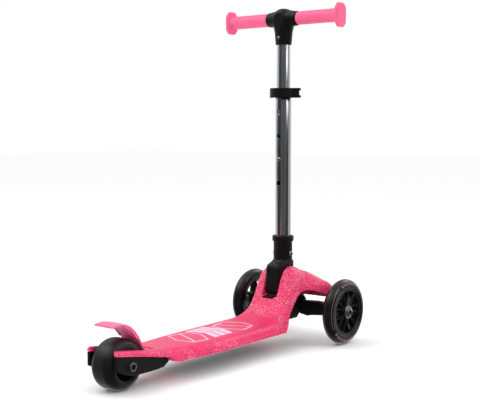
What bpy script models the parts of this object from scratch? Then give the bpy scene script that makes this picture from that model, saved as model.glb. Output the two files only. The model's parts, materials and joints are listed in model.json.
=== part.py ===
"""Children's three-wheeled kick scooter, modelled as its separate pieces.

Metres, +Z up, +Y the direction of travel, +X the rider's right. The origin is on the floor,
under the middle of the bounding box.
"""

import math

import bmesh
import bpy
from mathutils import Matrix, Vector

# ---------------------------------------------------------------- driving dimensions
WHEELBASE = 0.477
FRONT_WHEEL_R = 0.060
FRONT_TYRE_WIDTH = 0.024
HALF_TRACK = 0.104
REAR_WHEEL_R = 0.040
REAR_TYRE_WIDTH = 0.046
DECK_HALF_WIDTH = 0.060
DECK_TOP = 0.0525
DECK_BOTTOM = 0.033
SHELL_WALL = 0.0035
COVER_SEAT = 0.0025
STEM_SETBACK = 0.0465
LOWER_TUBE_R = 0.0150
LOWER_TUBE_BORE_R = 0.0130
UPPER_TUBE_R = 0.0127
UPPER_TUBE_BORE_R = 0.0112
CLAMP_Z = 0.4612
CLAMP_HEIGHT = 0.0177
BAR_Z = 0.5955
BAR_HALF_LENGTH = 0.126
FLANGE_WIDTH = 0.0075
GRIP_R = 0.0121
SNAP_Z = 0.3395
HOLE_PITCH = 0.0435
WING_REACH = 0.080
SLOT_HALF_WIDTH = 0.017
AXLE_R = 0.004
BEARING_R = 0.011
BEARING_WIDTH = 0.007
FRONT_CORE_R = 0.0420
FRONT_CROWN = 0.0115
FRONT_SPOKES = 10
REAR_CORE_R = 0.0260
REAR_CROWN = 0.0150
REAR_SPOKES = 6
KINGPIN_TILT = math.radians(45)
BRAKE_HALF_WIDTH = 0.020

GAP = 0.0003
RUN = 0.0005
SEGMENTS = 40

# ---------------------------------------------------------------- reference places
FRONT_Y = (WHEELBASE - FRONT_WHEEL_R + REAR_WHEEL_R) / 2
REAR_Y = FRONT_Y - WHEELBASE
STEM_Y = FRONT_Y - STEM_SETBACK
FRONT_Z = FRONT_WHEEL_R
REAR_Z = REAR_WHEEL_R
SLOT_FLOOR = FRONT_Z + 0.029
SLOT_FRONT = STEM_Y + 0.0185
PIVOT_Y = STEM_Y - 0.0240
PIVOT_Z = FRONT_Z + 0.040
BARREL_R = 0.0098
PIN_R = 0.003
PIN_HOLE_R = PIN_R + GAP
BRAKE_PIN_R = 0.0020
BRAKE_BORE_R = BRAKE_PIN_R + GAP
KINGPIN_R = 0.0040
KINGPIN_HOLE_R = KINGPIN_R + GAP
AXLE_HOLE_R = AXLE_R + GAP
COLLAR_TOP = FRONT_Z + 0.1385
SOCKET_WALL = 0.0026
CROSS_BOLT_Z = FRONT_Z + 0.105
CROSS_BORE_R = 0.0028
HOUSING_TOP = FRONT_Z + 0.024
HOUSING_HALF = 0.0255
HOUSING_BASE = DECK_BOTTOM + 0.0115
KINGPIN_AXIS = Vector((0, math.sin(KINGPIN_TILT), math.cos(KINGPIN_TILT)))
BRAKE_Y = REAR_Y + REAR_WHEEL_R + 0.013
BRAKE_Z = REAR_Z + 0.0105
BRACKET_INNER = REAR_TYRE_WIDTH / 2 + 0.003
BRACKET_OUTER = BRACKET_INNER + 0.006
FRONT_HUB_HALF = FRONT_TYRE_WIDTH / 2 + 0.0005
REAR_HUB_HALF = REAR_TYRE_WIDTH / 2 - 0.0005
CLAMP_R = LOWER_TUBE_R + 0.004
LEVER_FORK_R = 0.0078
EAR_DIRECTION = math.radians(38)
EAR_MIDDLE = 0.0235
PIVOT_TOWARD = 0.0150
BAR_TUBE_R = 0.0095
BOSS_HALF = 0.011
BUSH = 0.0025
LUG = 0.006
RELEASE_Y = STEM_Y - 0.0485
RELEASE_LENGTH = 0.0165
RELEASE_HALF = 0.0115
RELEASE_SINK = 0.0024
RELEASE_TRAVEL = 0.0025
PEG_Y = STEM_Y - 0.0362
PEG_DEPTH = 0.0024
PEG_HALF = 0.0036
LATCH_POCKET_END = STEM_Y - 0.0190

ALONG_X = Matrix.Rotation(math.pi / 2, 4, "Y")
ALONG_Y = Matrix.Rotation(-math.pi / 2, 4, "X")
YZ_PLANE = Matrix(((0, 0, 1, 0), (1, 0, 0, 0), (0, 1, 0, 0), (0, 0, 0, 1)))
XZ_PLANE = Matrix.Rotation(math.pi / 2, 4, "X")


# ---------------------------------------------------------------- scene and materials
def clear_scene():
    for obj in list(bpy.data.objects):
        bpy.data.objects.remove(obj)


def make_collection(name):
    collection = bpy.data.collections.new(name)
    bpy.context.scene.collection.children.link(collection)
    return collection


def make_material(name, colour, roughness, metallic=0.0):
    material = bpy.data.materials.new(name)
    material.use_nodes = True
    shader = material.node_tree.nodes["Principled BSDF"]
    shader.inputs["Base Color"].default_value = (*colour, 1.0)
    shader.inputs["Roughness"].default_value = roughness
    shader.inputs["Metallic"].default_value = metallic
    return material


clear_scene()
PARTS = make_collection("kick_scooter")
CUTTERS = make_collection("cutters")
PINK = make_material("pink_plastic", (0.90, 0.05, 0.19), 0.45)
LIGHT_PINK = make_material("light_pink_plastic", (0.95, 0.20, 0.35), 0.40)
BLACK = make_material("black_plastic", (0.012, 0.012, 0.013), 0.50)
RUBBER = make_material("black_rubber", (0.010, 0.010, 0.011), 0.60)
TYRE = make_material("black_polyurethane", (0.010, 0.010, 0.012), 0.30)
CHROME = make_material("chromed_steel", (0.80, 0.80, 0.82), 0.08, 1.0)
STEEL = make_material("zinc_steel", (0.60, 0.60, 0.62), 0.30, 1.0)


# ---------------------------------------------------------------- shape helpers
def link_part(name, mesh, material=None, matrix=Matrix.Identity(4)):
    """A part with a material, or a hidden cutter without one."""
    obj = bpy.data.objects.new(name, mesh)
    obj.matrix_world = matrix
    if material is None:
        CUTTERS.objects.link(obj)
        obj.hide_render = True
        obj.display_type = "WIRE"
        return obj
    PARTS.objects.link(obj)
    mesh.materials.clear()
    mesh.materials.append(material)
    return obj


def mesh_from(bm, name, sharp_degrees=35):
    bmesh.ops.recalc_face_normals(bm, faces=bm.faces)
    mesh = bpy.data.meshes.new(name)
    bm.to_mesh(mesh)
    bm.free()
    mesh.shade_smooth()
    mesh.set_sharp_from_angle(angle=math.radians(sharp_degrees))
    return mesh


def box(name, low, high, material=None, bevel=0.0):
    low, high = Vector(low), Vector(high)
    bm = bmesh.new()
    size = high - low
    matrix = Matrix.Translation((low + high) / 2) @ Matrix.Diagonal((*size, 1))
    bmesh.ops.create_cube(bm, size=1, matrix=matrix)
    obj = link_part(name, mesh_from(bm, name), material)
    if bevel:
        add_bevel(obj, bevel)
    return obj


def add_bevel(obj, width, segments=2, degrees=40):
    modifier = obj.modifiers.new("Rounded", "BEVEL")
    modifier.width = width
    modifier.segments = segments
    modifier.limit_method = "ANGLE"
    modifier.angle_limit = math.radians(degrees)
    return modifier


def rod(name, start, end, radius, material=None, segments=SEGMENTS, end_radius=None):
    """A round bar, or a cone, between two points."""
    start, end = Vector(start), Vector(end)
    bm = bmesh.new()
    turn = (end - start).to_track_quat("Z", "Y").to_matrix().to_4x4()
    bmesh.ops.create_cone(
        bm,
        cap_ends=True,
        segments=segments,
        radius1=radius,
        radius2=radius if end_radius is None else end_radius,
        depth=(end - start).length,
        matrix=Matrix.Translation((start + end) / 2) @ turn,
    )
    return link_part(name, mesh_from(bm, name), material)


def x_rod(name, half, y, z, radius, material=None, segments=SEGMENTS):
    return rod(name, (-half, y, z), (half, y, z), radius, material, segments)


def cross_rod(name, start_x, end_x, y, z, radius, material=None, segments=20, end_radius=None):
    """A round bar, or a cone, along X between two places."""
    return rod(name, (start_x, y, z), (end_x, y, z), radius, material, segments, end_radius)


def turned(name, profile, material=None, matrix=Matrix.Identity(4), ring=False, steps=SEGMENTS):
    """A profile of (radius, height) points, run from top to bottom on its outer side, turned about Z."""
    mesh = bpy.data.meshes.new(name)
    points = [(radius, 0, height) for radius, height in profile]
    count = len(points)
    edges = [(i, i + 1) for i in range(count - 1)]
    if ring:
        edges.append((count - 1, 0))
    mesh.from_pydata(points, edges, [])
    obj = link_part(name, mesh, material, matrix)
    screw = obj.modifiers.new("Turned", "SCREW")
    screw.steps = steps
    screw.render_steps = steps
    screw.use_merge_vertices = True
    screw.merge_threshold = 0.00001
    return obj


def tube_profile(outer, inner, top, bottom, edge=0.0):
    """A closed profile for a plain tube whose outer edges may be chamfered."""
    outside = [(outer - edge, top), (outer, top - edge), (outer, bottom + edge), (outer - edge, bottom)]
    if not edge:
        outside = [(outer, top), (outer, bottom)]
    return outside + [(inner, bottom), (inner, top)]


def flat(name, loops, thickness, matrix, material=None):
    """A flat outline with its holes, extruded to both sides of its plane, as a mesh."""
    curve = bpy.data.curves.new(name + "_outline", "CURVE")
    curve.dimensions = "2D"
    curve.fill_mode = "BOTH"
    curve.extrude = thickness / 2
    for loop in loops:
        spline = curve.splines.new("POLY")
        spline.points.add(len(loop) - 1)
        spline.use_cyclic_u = True
        for point, (x, y) in zip(spline.points, loop):
            point.co = (x, y, 0, 1)
    guide = bpy.data.objects.new(name + "_outline", curve)
    PARTS.objects.link(guide)
    bpy.context.view_layer.update()
    graph = bpy.context.evaluated_depsgraph_get()
    mesh = bpy.data.meshes.new_from_object(guide.evaluated_get(graph))
    bpy.data.objects.remove(guide)
    bm = bmesh.new()
    bm.from_mesh(mesh)
    bpy.data.meshes.remove(mesh)
    bmesh.ops.remove_doubles(bm, verts=bm.verts, dist=0.000001)
    bmesh.ops.dissolve_limit(bm, angle_limit=math.radians(0.5), verts=bm.verts, edges=bm.edges)
    return link_part(name, mesh_from(bm, name), material, matrix)


def side_plate(name, loops, x_low, x_high, material=None):
    """A (y, z) outline extruded along X."""
    matrix = Matrix.Translation(((x_low + x_high) / 2, 0, 0)) @ YZ_PLANE
    return flat(name, loops, x_high - x_low, matrix, material)


def loft(name, rings, material=None):
    """A closed skin through rings of points, with flat ends."""
    bm = bmesh.new()
    rows = [[bm.verts.new(point) for point in ring] for ring in rings]
    count = len(rows[0])
    for near, far in zip(rows, rows[1:]):
        for i in range(count):
            j = (i + 1) % count
            bm.faces.new((near[i], near[j], far[j], far[i]))
    bm.faces.new(rows[0])
    bm.faces.new(rows[-1])
    return link_part(name, mesh_from(bm, name), material)


def boolean(target, tool, operation="DIFFERENCE"):
    modifier = target.modifiers.new(f"{operation.lower()}_{tool.name}", "BOOLEAN")
    modifier.operation = operation
    modifier.object = tool
    return target


def cut(target, *tools):
    for tool in tools:
        boolean(target, tool)
    return target


def join(target, *tools):
    for tool in tools:
        boolean(target, tool, "UNION")
    return target


def circle(radius, count, centre=(0.0, 0.0)):
    step = math.tau / count
    return [
        (centre[0] + radius * math.cos(i * step), centre[1] + radius * math.sin(i * step))
        for i in range(count)
    ]


def bezier(start, control, end, count):
    """Points of a quadratic curve, both ends included."""
    found = []
    for i in range(count + 1):
        t = i / count
        a, b, c = (1 - t) ** 2, 2 * t * (1 - t), t * t
        found.append(tuple(a * s + b * m + c * e for s, m, e in zip(start, control, end)))
    return found


def ribbon(points, thickness, side=-1):
    """A closed outline: the points, and back along them at one side by the thickness."""
    back = []
    for i, (y, z) in enumerate(points):
        before = points[max(i - 1, 0)]
        after = points[min(i + 1, len(points) - 1)]
        length = math.hypot(after[0] - before[0], after[1] - before[1])
        normal = (-(after[1] - before[1]) / length, (after[0] - before[0]) / length)
        back.append((y + side * thickness * normal[0], z + side * thickness * normal[1]))
    return points + back[::-1]


def joint_empty(name, location, pieces):
    """An empty on a joint's axis, holding the pieces that move with it."""
    empty = bpy.data.objects.new(name, None)
    empty.empty_display_size = 0.02
    PARTS.objects.link(empty)
    empty.location = location
    inverse = Matrix.Translation(location).inverted()
    for piece in pieces:
        piece.parent = empty
        piece.matrix_parent_inverse = inverse


# ---------------------------------------------------------------- deck and front shell
def deck_stations():
    """(y, half width, underside, shoulder half width, shoulder height, centre height)."""
    w, top, low = DECK_HALF_WIDTH, DECK_TOP, DECK_BOTTOM
    tail = REAR_Y + REAR_WHEEL_R
    inner = BRACKET_OUTER
    return [
        (REAR_Y - 0.032, inner + 0.002, REAR_Z + 0.0210, inner - 0.001, REAR_Z + 0.0285, REAR_Z + 0.0300),
        (REAR_Y, inner + 0.003, REAR_Z + 0.0155, inner, REAR_Z + 0.0240, REAR_Z + 0.0260),
        (tail - 0.004, inner + 0.0055, REAR_Z + 0.0090, inner + 0.002, REAR_Z + 0.0175, REAR_Z + 0.0195),
        (tail + 0.020, w - 0.018, REAR_Z + 0.0045, w - 0.023, top + 0.0010, top + 0.0035),
        (tail + 0.036, w - 0.0145, REAR_Z + 0.0020, w - 0.021, top - 0.0005, top + 0.0020),
        (tail + 0.044, w - 0.0130, low + 0.0005, w - 0.020, top - 0.0010, top + 0.0015),
        (tail + 0.068, w - 0.008, low, w - 0.0165, top - 0.0015, top + 0.0005),
        (tail + 0.110, w - 0.002, low, w - 0.011, top - 0.0020, top),
        (tail + 0.160, w, low, w - 0.009, top - 0.0020, top),
        (STEM_Y - 0.130, w, low, w - 0.009, top - 0.0015, top + 0.0005),
        (STEM_Y - 0.086, w, low, w - 0.011, top - 0.0005, top + 0.0030),
        (STEM_Y - 0.070, w, low, w - 0.014, top + 0.0030, top + 0.0100),
        (STEM_Y - 0.0585, w - 0.002, low, w - 0.019, FRONT_Z + 0.0040, FRONT_Z + 0.0120),
        (STEM_Y - 0.0490, w - 0.004, low, w - 0.0225, FRONT_Z + 0.0170, FRONT_Z + 0.0245),
        (STEM_Y - 0.0400, w - 0.006, low, w - 0.0225, FRONT_Z + 0.0310, FRONT_Z + 0.0410),
        (STEM_Y - 0.0320, w - 0.006, low, w - 0.0210, FRONT_Z + 0.0415, FRONT_Z + 0.0620),
        (STEM_Y - 0.0225, w - 0.004, low, w - 0.0170, FRONT_Z + 0.0490, FRONT_Z + 0.0775),
        (STEM_Y - 0.0115, w - 0.002, low, w - 0.0130, FRONT_Z + 0.0535, FRONT_Z + 0.0830),
        (STEM_Y + 0.0030, w - 0.002, low, w - 0.0110, FRONT_Z + 0.0540, FRONT_Z + 0.0830),
        (STEM_Y + 0.0160, w - 0.004, low, w - 0.0130, FRONT_Z + 0.0520, FRONT_Z + 0.0790),
        (STEM_Y + 0.0300, w - 0.010, low, w - 0.0180, FRONT_Z + 0.0480, FRONT_Z + 0.0710),
        (STEM_Y + 0.0460, w - 0.018, low, w - 0.0240, FRONT_Z + 0.0420, FRONT_Z + 0.0600),
        (STEM_Y + 0.0580, w - 0.026, low, w - 0.0300, FRONT_Z + 0.0340, FRONT_Z + 0.0460),
    ]


def deck_section(station, inset, floor):
    """One closed ring across the deck, from the right underside edge over the top to the left."""
    y, width, low, shoulder, shoulder_z, centre_z = station
    width, shoulder = width - inset, shoulder - inset
    shoulder_z, centre_z = shoulder_z - inset, centre_z - inset
    foot = [(width, low)] if floor is None else [(width, floor), (width, low + COVER_SEAT)]
    crown = 3.2

    def top(x):
        return shoulder_z + (centre_z - shoulder_z) * (1 - (x / shoulder) ** crown)

    side = (width + 0.55 * (shoulder - width), low + 0.55 * (shoulder_z - low))
    edge = 0.78 * shoulder
    half = foot + bezier(side, (shoulder, shoulder_z), (edge, top(edge)), 4)
    half += [(edge * f, top(edge * f)) for f in (0.8, 0.55, 0.3)]
    ring = half + [(0.0, centre_z)] + [(-x, z) for x, z in reversed(half)]
    return [(x, y, z) for x, z in ring]


def deck_loft(name, material=None, inset=0.0, floor=None, first=0, last=None):
    rings = [deck_section(s, inset, floor) for s in deck_stations()[first:last]]
    return loft(name, rings, material)


def wing_stations():
    """(x, rear y, crease height, apex y, apex height, front y, front height), y from the stem's axis."""
    return [
        (0.0, -0.0025, 0.054, 0.0245, 0.0730, 0.0745, 0.0240),
        (WING_REACH * 0.30, -0.0025, 0.054, 0.0245, 0.0715, 0.0735, 0.0240),
        (WING_REACH * 0.60, 0.0005, 0.0520, 0.0260, 0.0635, 0.0700, 0.0240),
        (WING_REACH * 0.77, 0.0150, 0.0490, 0.0330, 0.0575, 0.0670, 0.0245),
        (WING_REACH * 0.90, 0.0280, 0.0455, 0.0420, 0.0515, 0.0640, 0.0255),
        (WING_REACH, 0.0390, 0.0370, 0.0490, 0.0400, 0.0600, 0.0290),
    ]


def wing_section(station, inset, floor):
    """One closed ring along the wing, from its rear foot over its top to its front foot."""
    x, rear, crease, apex, apex_z, front, front_z = station
    rear, front = rear + inset, front - inset
    crease, apex_z, front_z = crease - inset, apex_z - inset, front_z - inset
    points = [(rear, floor), (rear, crease - 0.003)]
    depth = apex - rear
    points += bezier((rear + 0.07 * depth, crease), (rear + 0.3 * depth, apex_z), (apex, apex_z), 4)
    points += bezier((apex, apex_z), (front - 0.004, apex_z - 0.004), (front, front_z), 6)[1:]
    points.append((front, floor))
    return [(x, STEM_Y + y, FRONT_Z + z) for y, z in points]


def wing_loft(name, material=None, inset=0.0, floor=0.004):
    right = wing_stations()
    if inset:
        x, *rest = right[-1]
        right[-1] = (x - inset, *rest)
    stations = [(-s[0], *s[1:]) for s in reversed(right[1:])] + right
    return loft(name, [wing_section(s, inset, floor) for s in stations], material)


def arch_outline():
    """The side opening over the axle: up the neck, along the wing's rim and down its nose."""
    s, z = STEM_Y, FRONT_Z
    rim = [
        (-0.0665, DECK_BOTTOM + 0.0015),
        (-0.0570, z - 0.0205),
        (-0.0480, z - 0.0120),
        (-0.0385, z + 0.0015),
        (-0.0290, z + 0.0135),
        (-0.0220, z + 0.0245),
        (-0.0140, z + 0.0330),
        (-0.0050, z + 0.0375),
        (0.0050, z + 0.0390),
        (0.0125, z + 0.0385),
        (0.0245, z + 0.0345),
        (0.0495, z + 0.0240),
        (0.0900, z + 0.0120),
    ]
    floor = DECK_BOTTOM - 0.010
    points = [(s - 0.0680, floor)] + [(s + y, height) for y, height in rim]
    return points + [(s + 0.090, floor)]


def shell_cavity():
    """The hollow under the deck and the wings, which leaves a solid core about the slot."""
    floor = DECK_BOTTOM - 0.008
    hollow = deck_loft("cavity_deck", inset=SHELL_WALL, floor=floor, first=6)
    wings = wing_loft("cavity_wings", inset=SHELL_WALL, floor=-0.020)
    core_half = SLOT_HALF_WIDTH + SHELL_WALL
    core = box(
        "cavity_core",
        (-core_half, STEM_Y - 0.080, floor - 0.01),
        (core_half, STEM_Y + 0.090, COLLAR_TOP),
    )
    boolean(hollow, wings, "UNION")
    return cut(hollow, core)


def housing_pocket():
    """Room for the steering housing under the slot and behind the nose."""
    y_low, y_front = STEM_Y - 0.0585, STEM_Y + 0.0745 - SHELL_WALL
    outline = [
        (y_low, 0.020),
        (y_low, FRONT_Z + 0.0025),
        (STEM_Y - 0.0410, HOUSING_TOP + GAP),
        (SLOT_FRONT + SHELL_WALL, HOUSING_TOP + GAP),
        (SLOT_FRONT + SHELL_WALL, HOUSING_TOP + 0.011),
        (y_front - 0.003, HOUSING_TOP + 0.011),
        (y_front, HOUSING_TOP + 0.003),
        (y_front, 0.020),
    ]
    half = HOUSING_HALF + 0.001
    return side_plate("housing_pocket", [outline], -half, half)


def wheel_well():
    half = BRACKET_INNER - 0.0005
    radius = REAR_WHEEL_R + 0.0055
    well = x_rod("wheel_well", half, REAR_Y, REAR_Z, radius, segments=48)
    above = box(
        "wheel_well_above",
        (-half, REAR_Y - 0.060, REAR_Z - 0.030),
        (half, REAR_Y + radius - 0.005, REAR_Z + 0.080),
    )
    return join(well, above)


def deck_body():
    shell = deck_loft("deck_body", PINK)
    boolean(shell, wing_loft("wing_solid"), "UNION")
    slot = box(
        "stem_slot",
        (-SLOT_HALF_WIDTH, STEM_Y - 0.090, SLOT_FLOOR),
        (SLOT_HALF_WIDTH, SLOT_FRONT, COLLAR_TOP),
    )
    add_bevel(slot, 0.002)
    root = box(
        "brake_recess",
        (-BRAKE_HALF_WIDTH - 0.0015, REAR_Y + REAR_WHEEL_R, BRAKE_Z - 0.0065),
        (BRAKE_HALF_WIDTH + 0.0015, BRAKE_Y + 0.0085, BRAKE_Z + 0.060),
    )
    arch = side_plate("side_arch", [arch_outline()], -0.12, 0.12)
    core_half = SLOT_HALF_WIDTH + SHELL_WALL - 0.0002
    core_front = SLOT_FRONT + SHELL_WALL
    cut(arch, box("arch_core", (-core_half, STEM_Y - 0.080, 0.0), (core_half, core_front, COLLAR_TOP)))
    fold_hole = x_rod("fold_pin_hole_shell", 0.030, PIVOT_Y, PIVOT_Z, PIN_HOLE_R, segments=20)
    brake_hole = x_rod("brake_pin_hole_shell", 0.0295, BRAKE_Y, BRAKE_Z, BRAKE_BORE_R, segments=16)
    cut(shell, fold_hole, brake_hole, wheel_well(), root, arch)
    return cut(shell, shell_cavity(), housing_pocket(), slot, *release_channel())


def underside_cover():
    """A plate that closes the hollow under the deck, held by screws."""
    inset = SHELL_WALL + RUN
    stations = [s for s in deck_stations() if REAR_Y + REAR_WHEEL_R + 0.06 < s[0] < STEM_Y - 0.080]
    front = (STEM_Y - 0.0815, DECK_HALF_WIDTH)
    right = [(s[1] - inset, s[0] + (RUN if i == 0 else 0)) for i, s in enumerate(stations)]
    right.append((front[1] - inset, front[0]))
    outline = right + [(-x, y) for x, y in reversed(right)]
    thickness = 0.0018
    matrix = Matrix.Translation((0, 0, DECK_BOTTOM + 0.0001 + thickness / 2))
    cover = flat("underside_cover", [outline], thickness, matrix, BLACK)
    low = DECK_BOTTOM
    for i, (x, y) in enumerate(screw_places()):
        join(cover, rod(f"cover_boss_{i}", (x, y, low + 0.001), (x, y, low + 0.012), 0.0045, segments=16))
    for i, (x, y) in enumerate(screw_places()):
        cut(cover, rod(f"cover_hole_{i}", (x, y, low - 0.01), (x, y, low + 0.009), 0.0030, segments=14))


def screw_places():
    rear, front = REAR_Y + REAR_WHEEL_R + 0.085, STEM_Y - 0.100
    return [(x, y) for y in (rear, front) for x in (-0.036, 0.036)]


def cover_screws():
    z = DECK_BOTTOM + 0.0004
    tip, under_head = z + 0.0075, z + 0.0016
    profile = [(0.0, tip), (0.0017, tip), (0.0017, under_head), (0.0027, under_head), (0.0027, z), (0.0, z)]
    for i, (x, y) in enumerate(screw_places()):
        turned(f"cover_screw_{i + 1}", profile, STEEL, Matrix.Translation((x, y, 0)), steps=14)


# ---------------------------------------------------------------- steering housing and truck
def kingpin_point(distance):
    return Vector((0, FRONT_Y, FRONT_Z)) + KINGPIN_AXIS * distance


def kingpin_rod(name, start, end, radius, material=None, segments=20):
    """A round bar on the kingpin's axis, between two distances from the wheels' middles."""
    return rod(name, kingpin_point(start), kingpin_point(end), radius, material, segments)


def beside_kingpin(distance, across):
    """(y, z) of a place along the kingpin and square to it, toward the rear and up."""
    point = kingpin_point(distance)
    return (point.y - across * KINGPIN_AXIS.z, point.z + across * KINGPIN_AXIS.y)


def steering_housing():
    """Base in the neck, two cheeks for the fold pin, and a lug at each end of the kingpin."""
    half = HOUSING_HALF
    base = side_plate("steering_housing", [[
        (STEM_Y - 0.0565, HOUSING_BASE),
        (STEM_Y - 0.0565, FRONT_Z + 0.0020),
        (STEM_Y - 0.0400, HOUSING_TOP - GAP),
        (STEM_Y + 0.0120, HOUSING_TOP - GAP),
        (STEM_Y + 0.0120, HOUSING_BASE),
    ]], -half, half, BLACK)
    cheek_low = SLOT_HALF_WIDTH + SHELL_WALL + GAP
    for side in (-1, 1):
        x_ends = sorted((side * cheek_low, side * half))
        cheek = side_plate(
            f"housing_cheek_{side}",
            [[(PIVOT_Y - 0.013, HOUSING_TOP - 0.004), (PIVOT_Y + 0.013, HOUSING_TOP - 0.004)]
             + [(PIVOT_Y + 0.0075 * math.cos(a), PIVOT_Z + 0.0075 * math.sin(a))
                for a in (math.radians(d) for d in range(0, 181, 30))]],
            *x_ends,
        )
        join(base, cheek)
    low_lug, high_lug = -(BOSS_HALF + BUSH), BOSS_HALF + BUSH
    clear = 0.0002
    lower = kingpin_rod("lug_lower", low_lug - LUG, low_lug - clear, 0.011, segments=28)
    upper = kingpin_rod("lug_upper", high_lug + clear, high_lug + LUG, 0.011, segments=28)
    rear_arm = side_plate("arm_lower", [[
        (STEM_Y + 0.008, FRONT_Z - 0.0150),
        (STEM_Y + 0.008, FRONT_Z - 0.001),
        beside_kingpin(low_lug - 0.0004, 0.0109),
        beside_kingpin(low_lug - 0.0004, 0.0060),
        beside_kingpin(low_lug - LUG + 0.0003, 0.0078),
    ]], -0.009, 0.009)
    top_arm = side_plate("arm_upper", [[
        (STEM_Y + 0.004, FRONT_Z + 0.0195),
        (STEM_Y + 0.004, HOUSING_TOP - GAP),
        (SLOT_FRONT + SHELL_WALL + GAP, HOUSING_TOP - GAP),
        (SLOT_FRONT + SHELL_WALL + 0.001, HOUSING_TOP + 0.0085),
        (STEM_Y + 0.050, HOUSING_TOP + 0.0085),
        beside_kingpin(high_lug + LUG + 0.004, 0.0125),
        beside_kingpin(high_lug + LUG - 0.0002, 0.0085),
        beside_kingpin(high_lug + 0.0004, 0.0060),
        beside_kingpin(high_lug + 0.0004, 0.0145),
        (STEM_Y + 0.040, FRONT_Z + 0.0195),
    ]], -0.009, 0.009)
    join(base, lower, upper, rear_arm, top_arm)
    kingpin_hole = kingpin_rod("kingpin_hole_housing", -0.04, 0.04, KINGPIN_HOLE_R)
    pin_hole = x_rod("fold_pin_hole_housing", 0.030, PIVOT_Y, PIVOT_Z, PIN_HOLE_R, segments=20)
    latch_pocket = box(
        "latch_pocket",
        (-PEG_HALF - 0.0009, PEG_Y - 0.0013, HOUSING_TOP - 0.0065),
        (PEG_HALF + 0.0009, LATCH_POCKET_END, HOUSING_TOP + 0.002),
    )
    cut(base, kingpin_hole, pin_hole, latch_pocket)


def kingpin_parts():
    """Kingpin bolt and nut, and the two rubber bushes between the beam's boss and the lugs."""
    lug_end = BOSS_HALF + BUSH + LUG
    bolt = kingpin_rod("kingpin_bolt", -lug_end - GAP, lug_end + 0.0045, KINGPIN_R, STEEL)
    join(bolt, kingpin_rod("kingpin_head", -lug_end - 0.004, -lug_end - 0.0002, 0.0065, segments=6))
    nut = kingpin_rod("kingpin_nut", lug_end + GAP, lug_end + 0.0045, 0.0065, STEEL, 6)
    cut(nut, kingpin_rod("kingpin_nut_bore", lug_end - 0.004, lug_end + 0.010, KINGPIN_HOLE_R))
    turn = KINGPIN_AXIS.to_track_quat("Z", "Y").to_matrix().to_4x4()
    centre = BOSS_HALF + BUSH / 2
    for name, distance in (("steering_bush_lower", -centre), ("steering_bush_upper", centre)):
        profile = tube_profile(0.0105, 0.0044, BUSH / 2 - GAP, GAP - BUSH / 2)
        place = Matrix.Translation(kingpin_point(distance)) @ turn
        turned(name, profile, RUBBER, place, True, 24)


def axle_beam():
    """The cross beam that carries the front wheels and swings about the kingpin."""
    z, end = FRONT_Z, HALF_TRACK - FRONT_TYRE_WIDTH / 2 - 0.0075
    right = [
        (0.012, z - 0.015), (0.020, z - 0.0145), (0.028, z - 0.0165), (0.040, z - 0.014),
        (end - 0.010, z - 0.0105), (end, z - 0.0085), (end, z + 0.0080), (end - 0.012, z + 0.0105),
        (0.045, z + 0.0125), (0.020, z + 0.0110),
    ]
    outline = right + [(-x, h) for x, h in reversed(right)]
    matrix = Matrix.Translation((0, FRONT_Y, 0)) @ XZ_PLANE
    beam = flat("axle_beam", [outline], 0.022, matrix, BLACK)
    add_bevel(beam, 0.003)
    boss = kingpin_rod("beam_boss", -BOSS_HALF, BOSS_HALF, 0.012, segments=28)
    spigot_half = HALF_TRACK - 0.0135
    spigot = x_rod("beam_spigots", spigot_half, FRONT_Y, FRONT_Z, 0.0075, segments=24)
    join(beam, boss, spigot)
    clear_low = kingpin_rod("beam_relief_low", -BOSS_HALF - 0.030, -BOSS_HALF, 0.0145, segments=28)
    clear_high = kingpin_rod("beam_relief_high", BOSS_HALF, BOSS_HALF + 0.030, 0.0145, segments=28)
    cut(beam, clear_low, clear_high, kingpin_rod("beam_kingpin_bore", -0.03, 0.03, 0.0045))
    for side, label in ((-1, "left"), (1, "right")):
        ends = side * (HALF_TRACK - 0.040), side * HALF_TRACK
        cut(beam, cross_rod(f"beam_axle_bore_{label}", *ends, FRONT_Y, FRONT_Z, AXLE_HOLE_R))
    return beam


def front_axle(side, label):
    """A socket-head bolt from the outside of the wheel into the beam."""
    y, z = FRONT_Y, FRONT_Z
    tip, face = HALF_TRACK - 0.039, HALF_TRACK + 0.0125
    ends = side * tip, side * (face + 0.0010)
    bolt = cross_rod(f"front_axle_bolt_{label}", *ends, y, z, AXLE_R, STEEL, 24)
    ends = side * (face + GAP), side * (face + 0.0032)
    head = cross_rod(f"axle_head_{label}", *ends, y, z, 0.0078, segments=28, end_radius=0.0070)
    ends = side * (face + 0.0012), side * (face + 0.0060)
    socket = cross_rod(f"axle_socket_{label}", *ends, y, z, 0.0034, segments=6)
    return cut(join(bolt, head), socket)


# ---------------------------------------------------------------- wheels
def tyre_profile(radius, half_width, inner, crown):
    """A tyre whose tread is rounded off by the crown radius on both sides."""
    arc = []
    for i in range(5):
        angle = math.radians(90 * i / 4)
        arc.append((radius - crown + crown * math.cos(angle), half_width - crown + crown * math.sin(angle)))
    outside = [(inner, half_width)] + arc[::-1]
    outside += [(r, -h) for r, h in arc]
    return [p for i, p in enumerate(outside + [(inner, -half_width)]) if i == 0 or p != outside[i - 1]]


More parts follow.
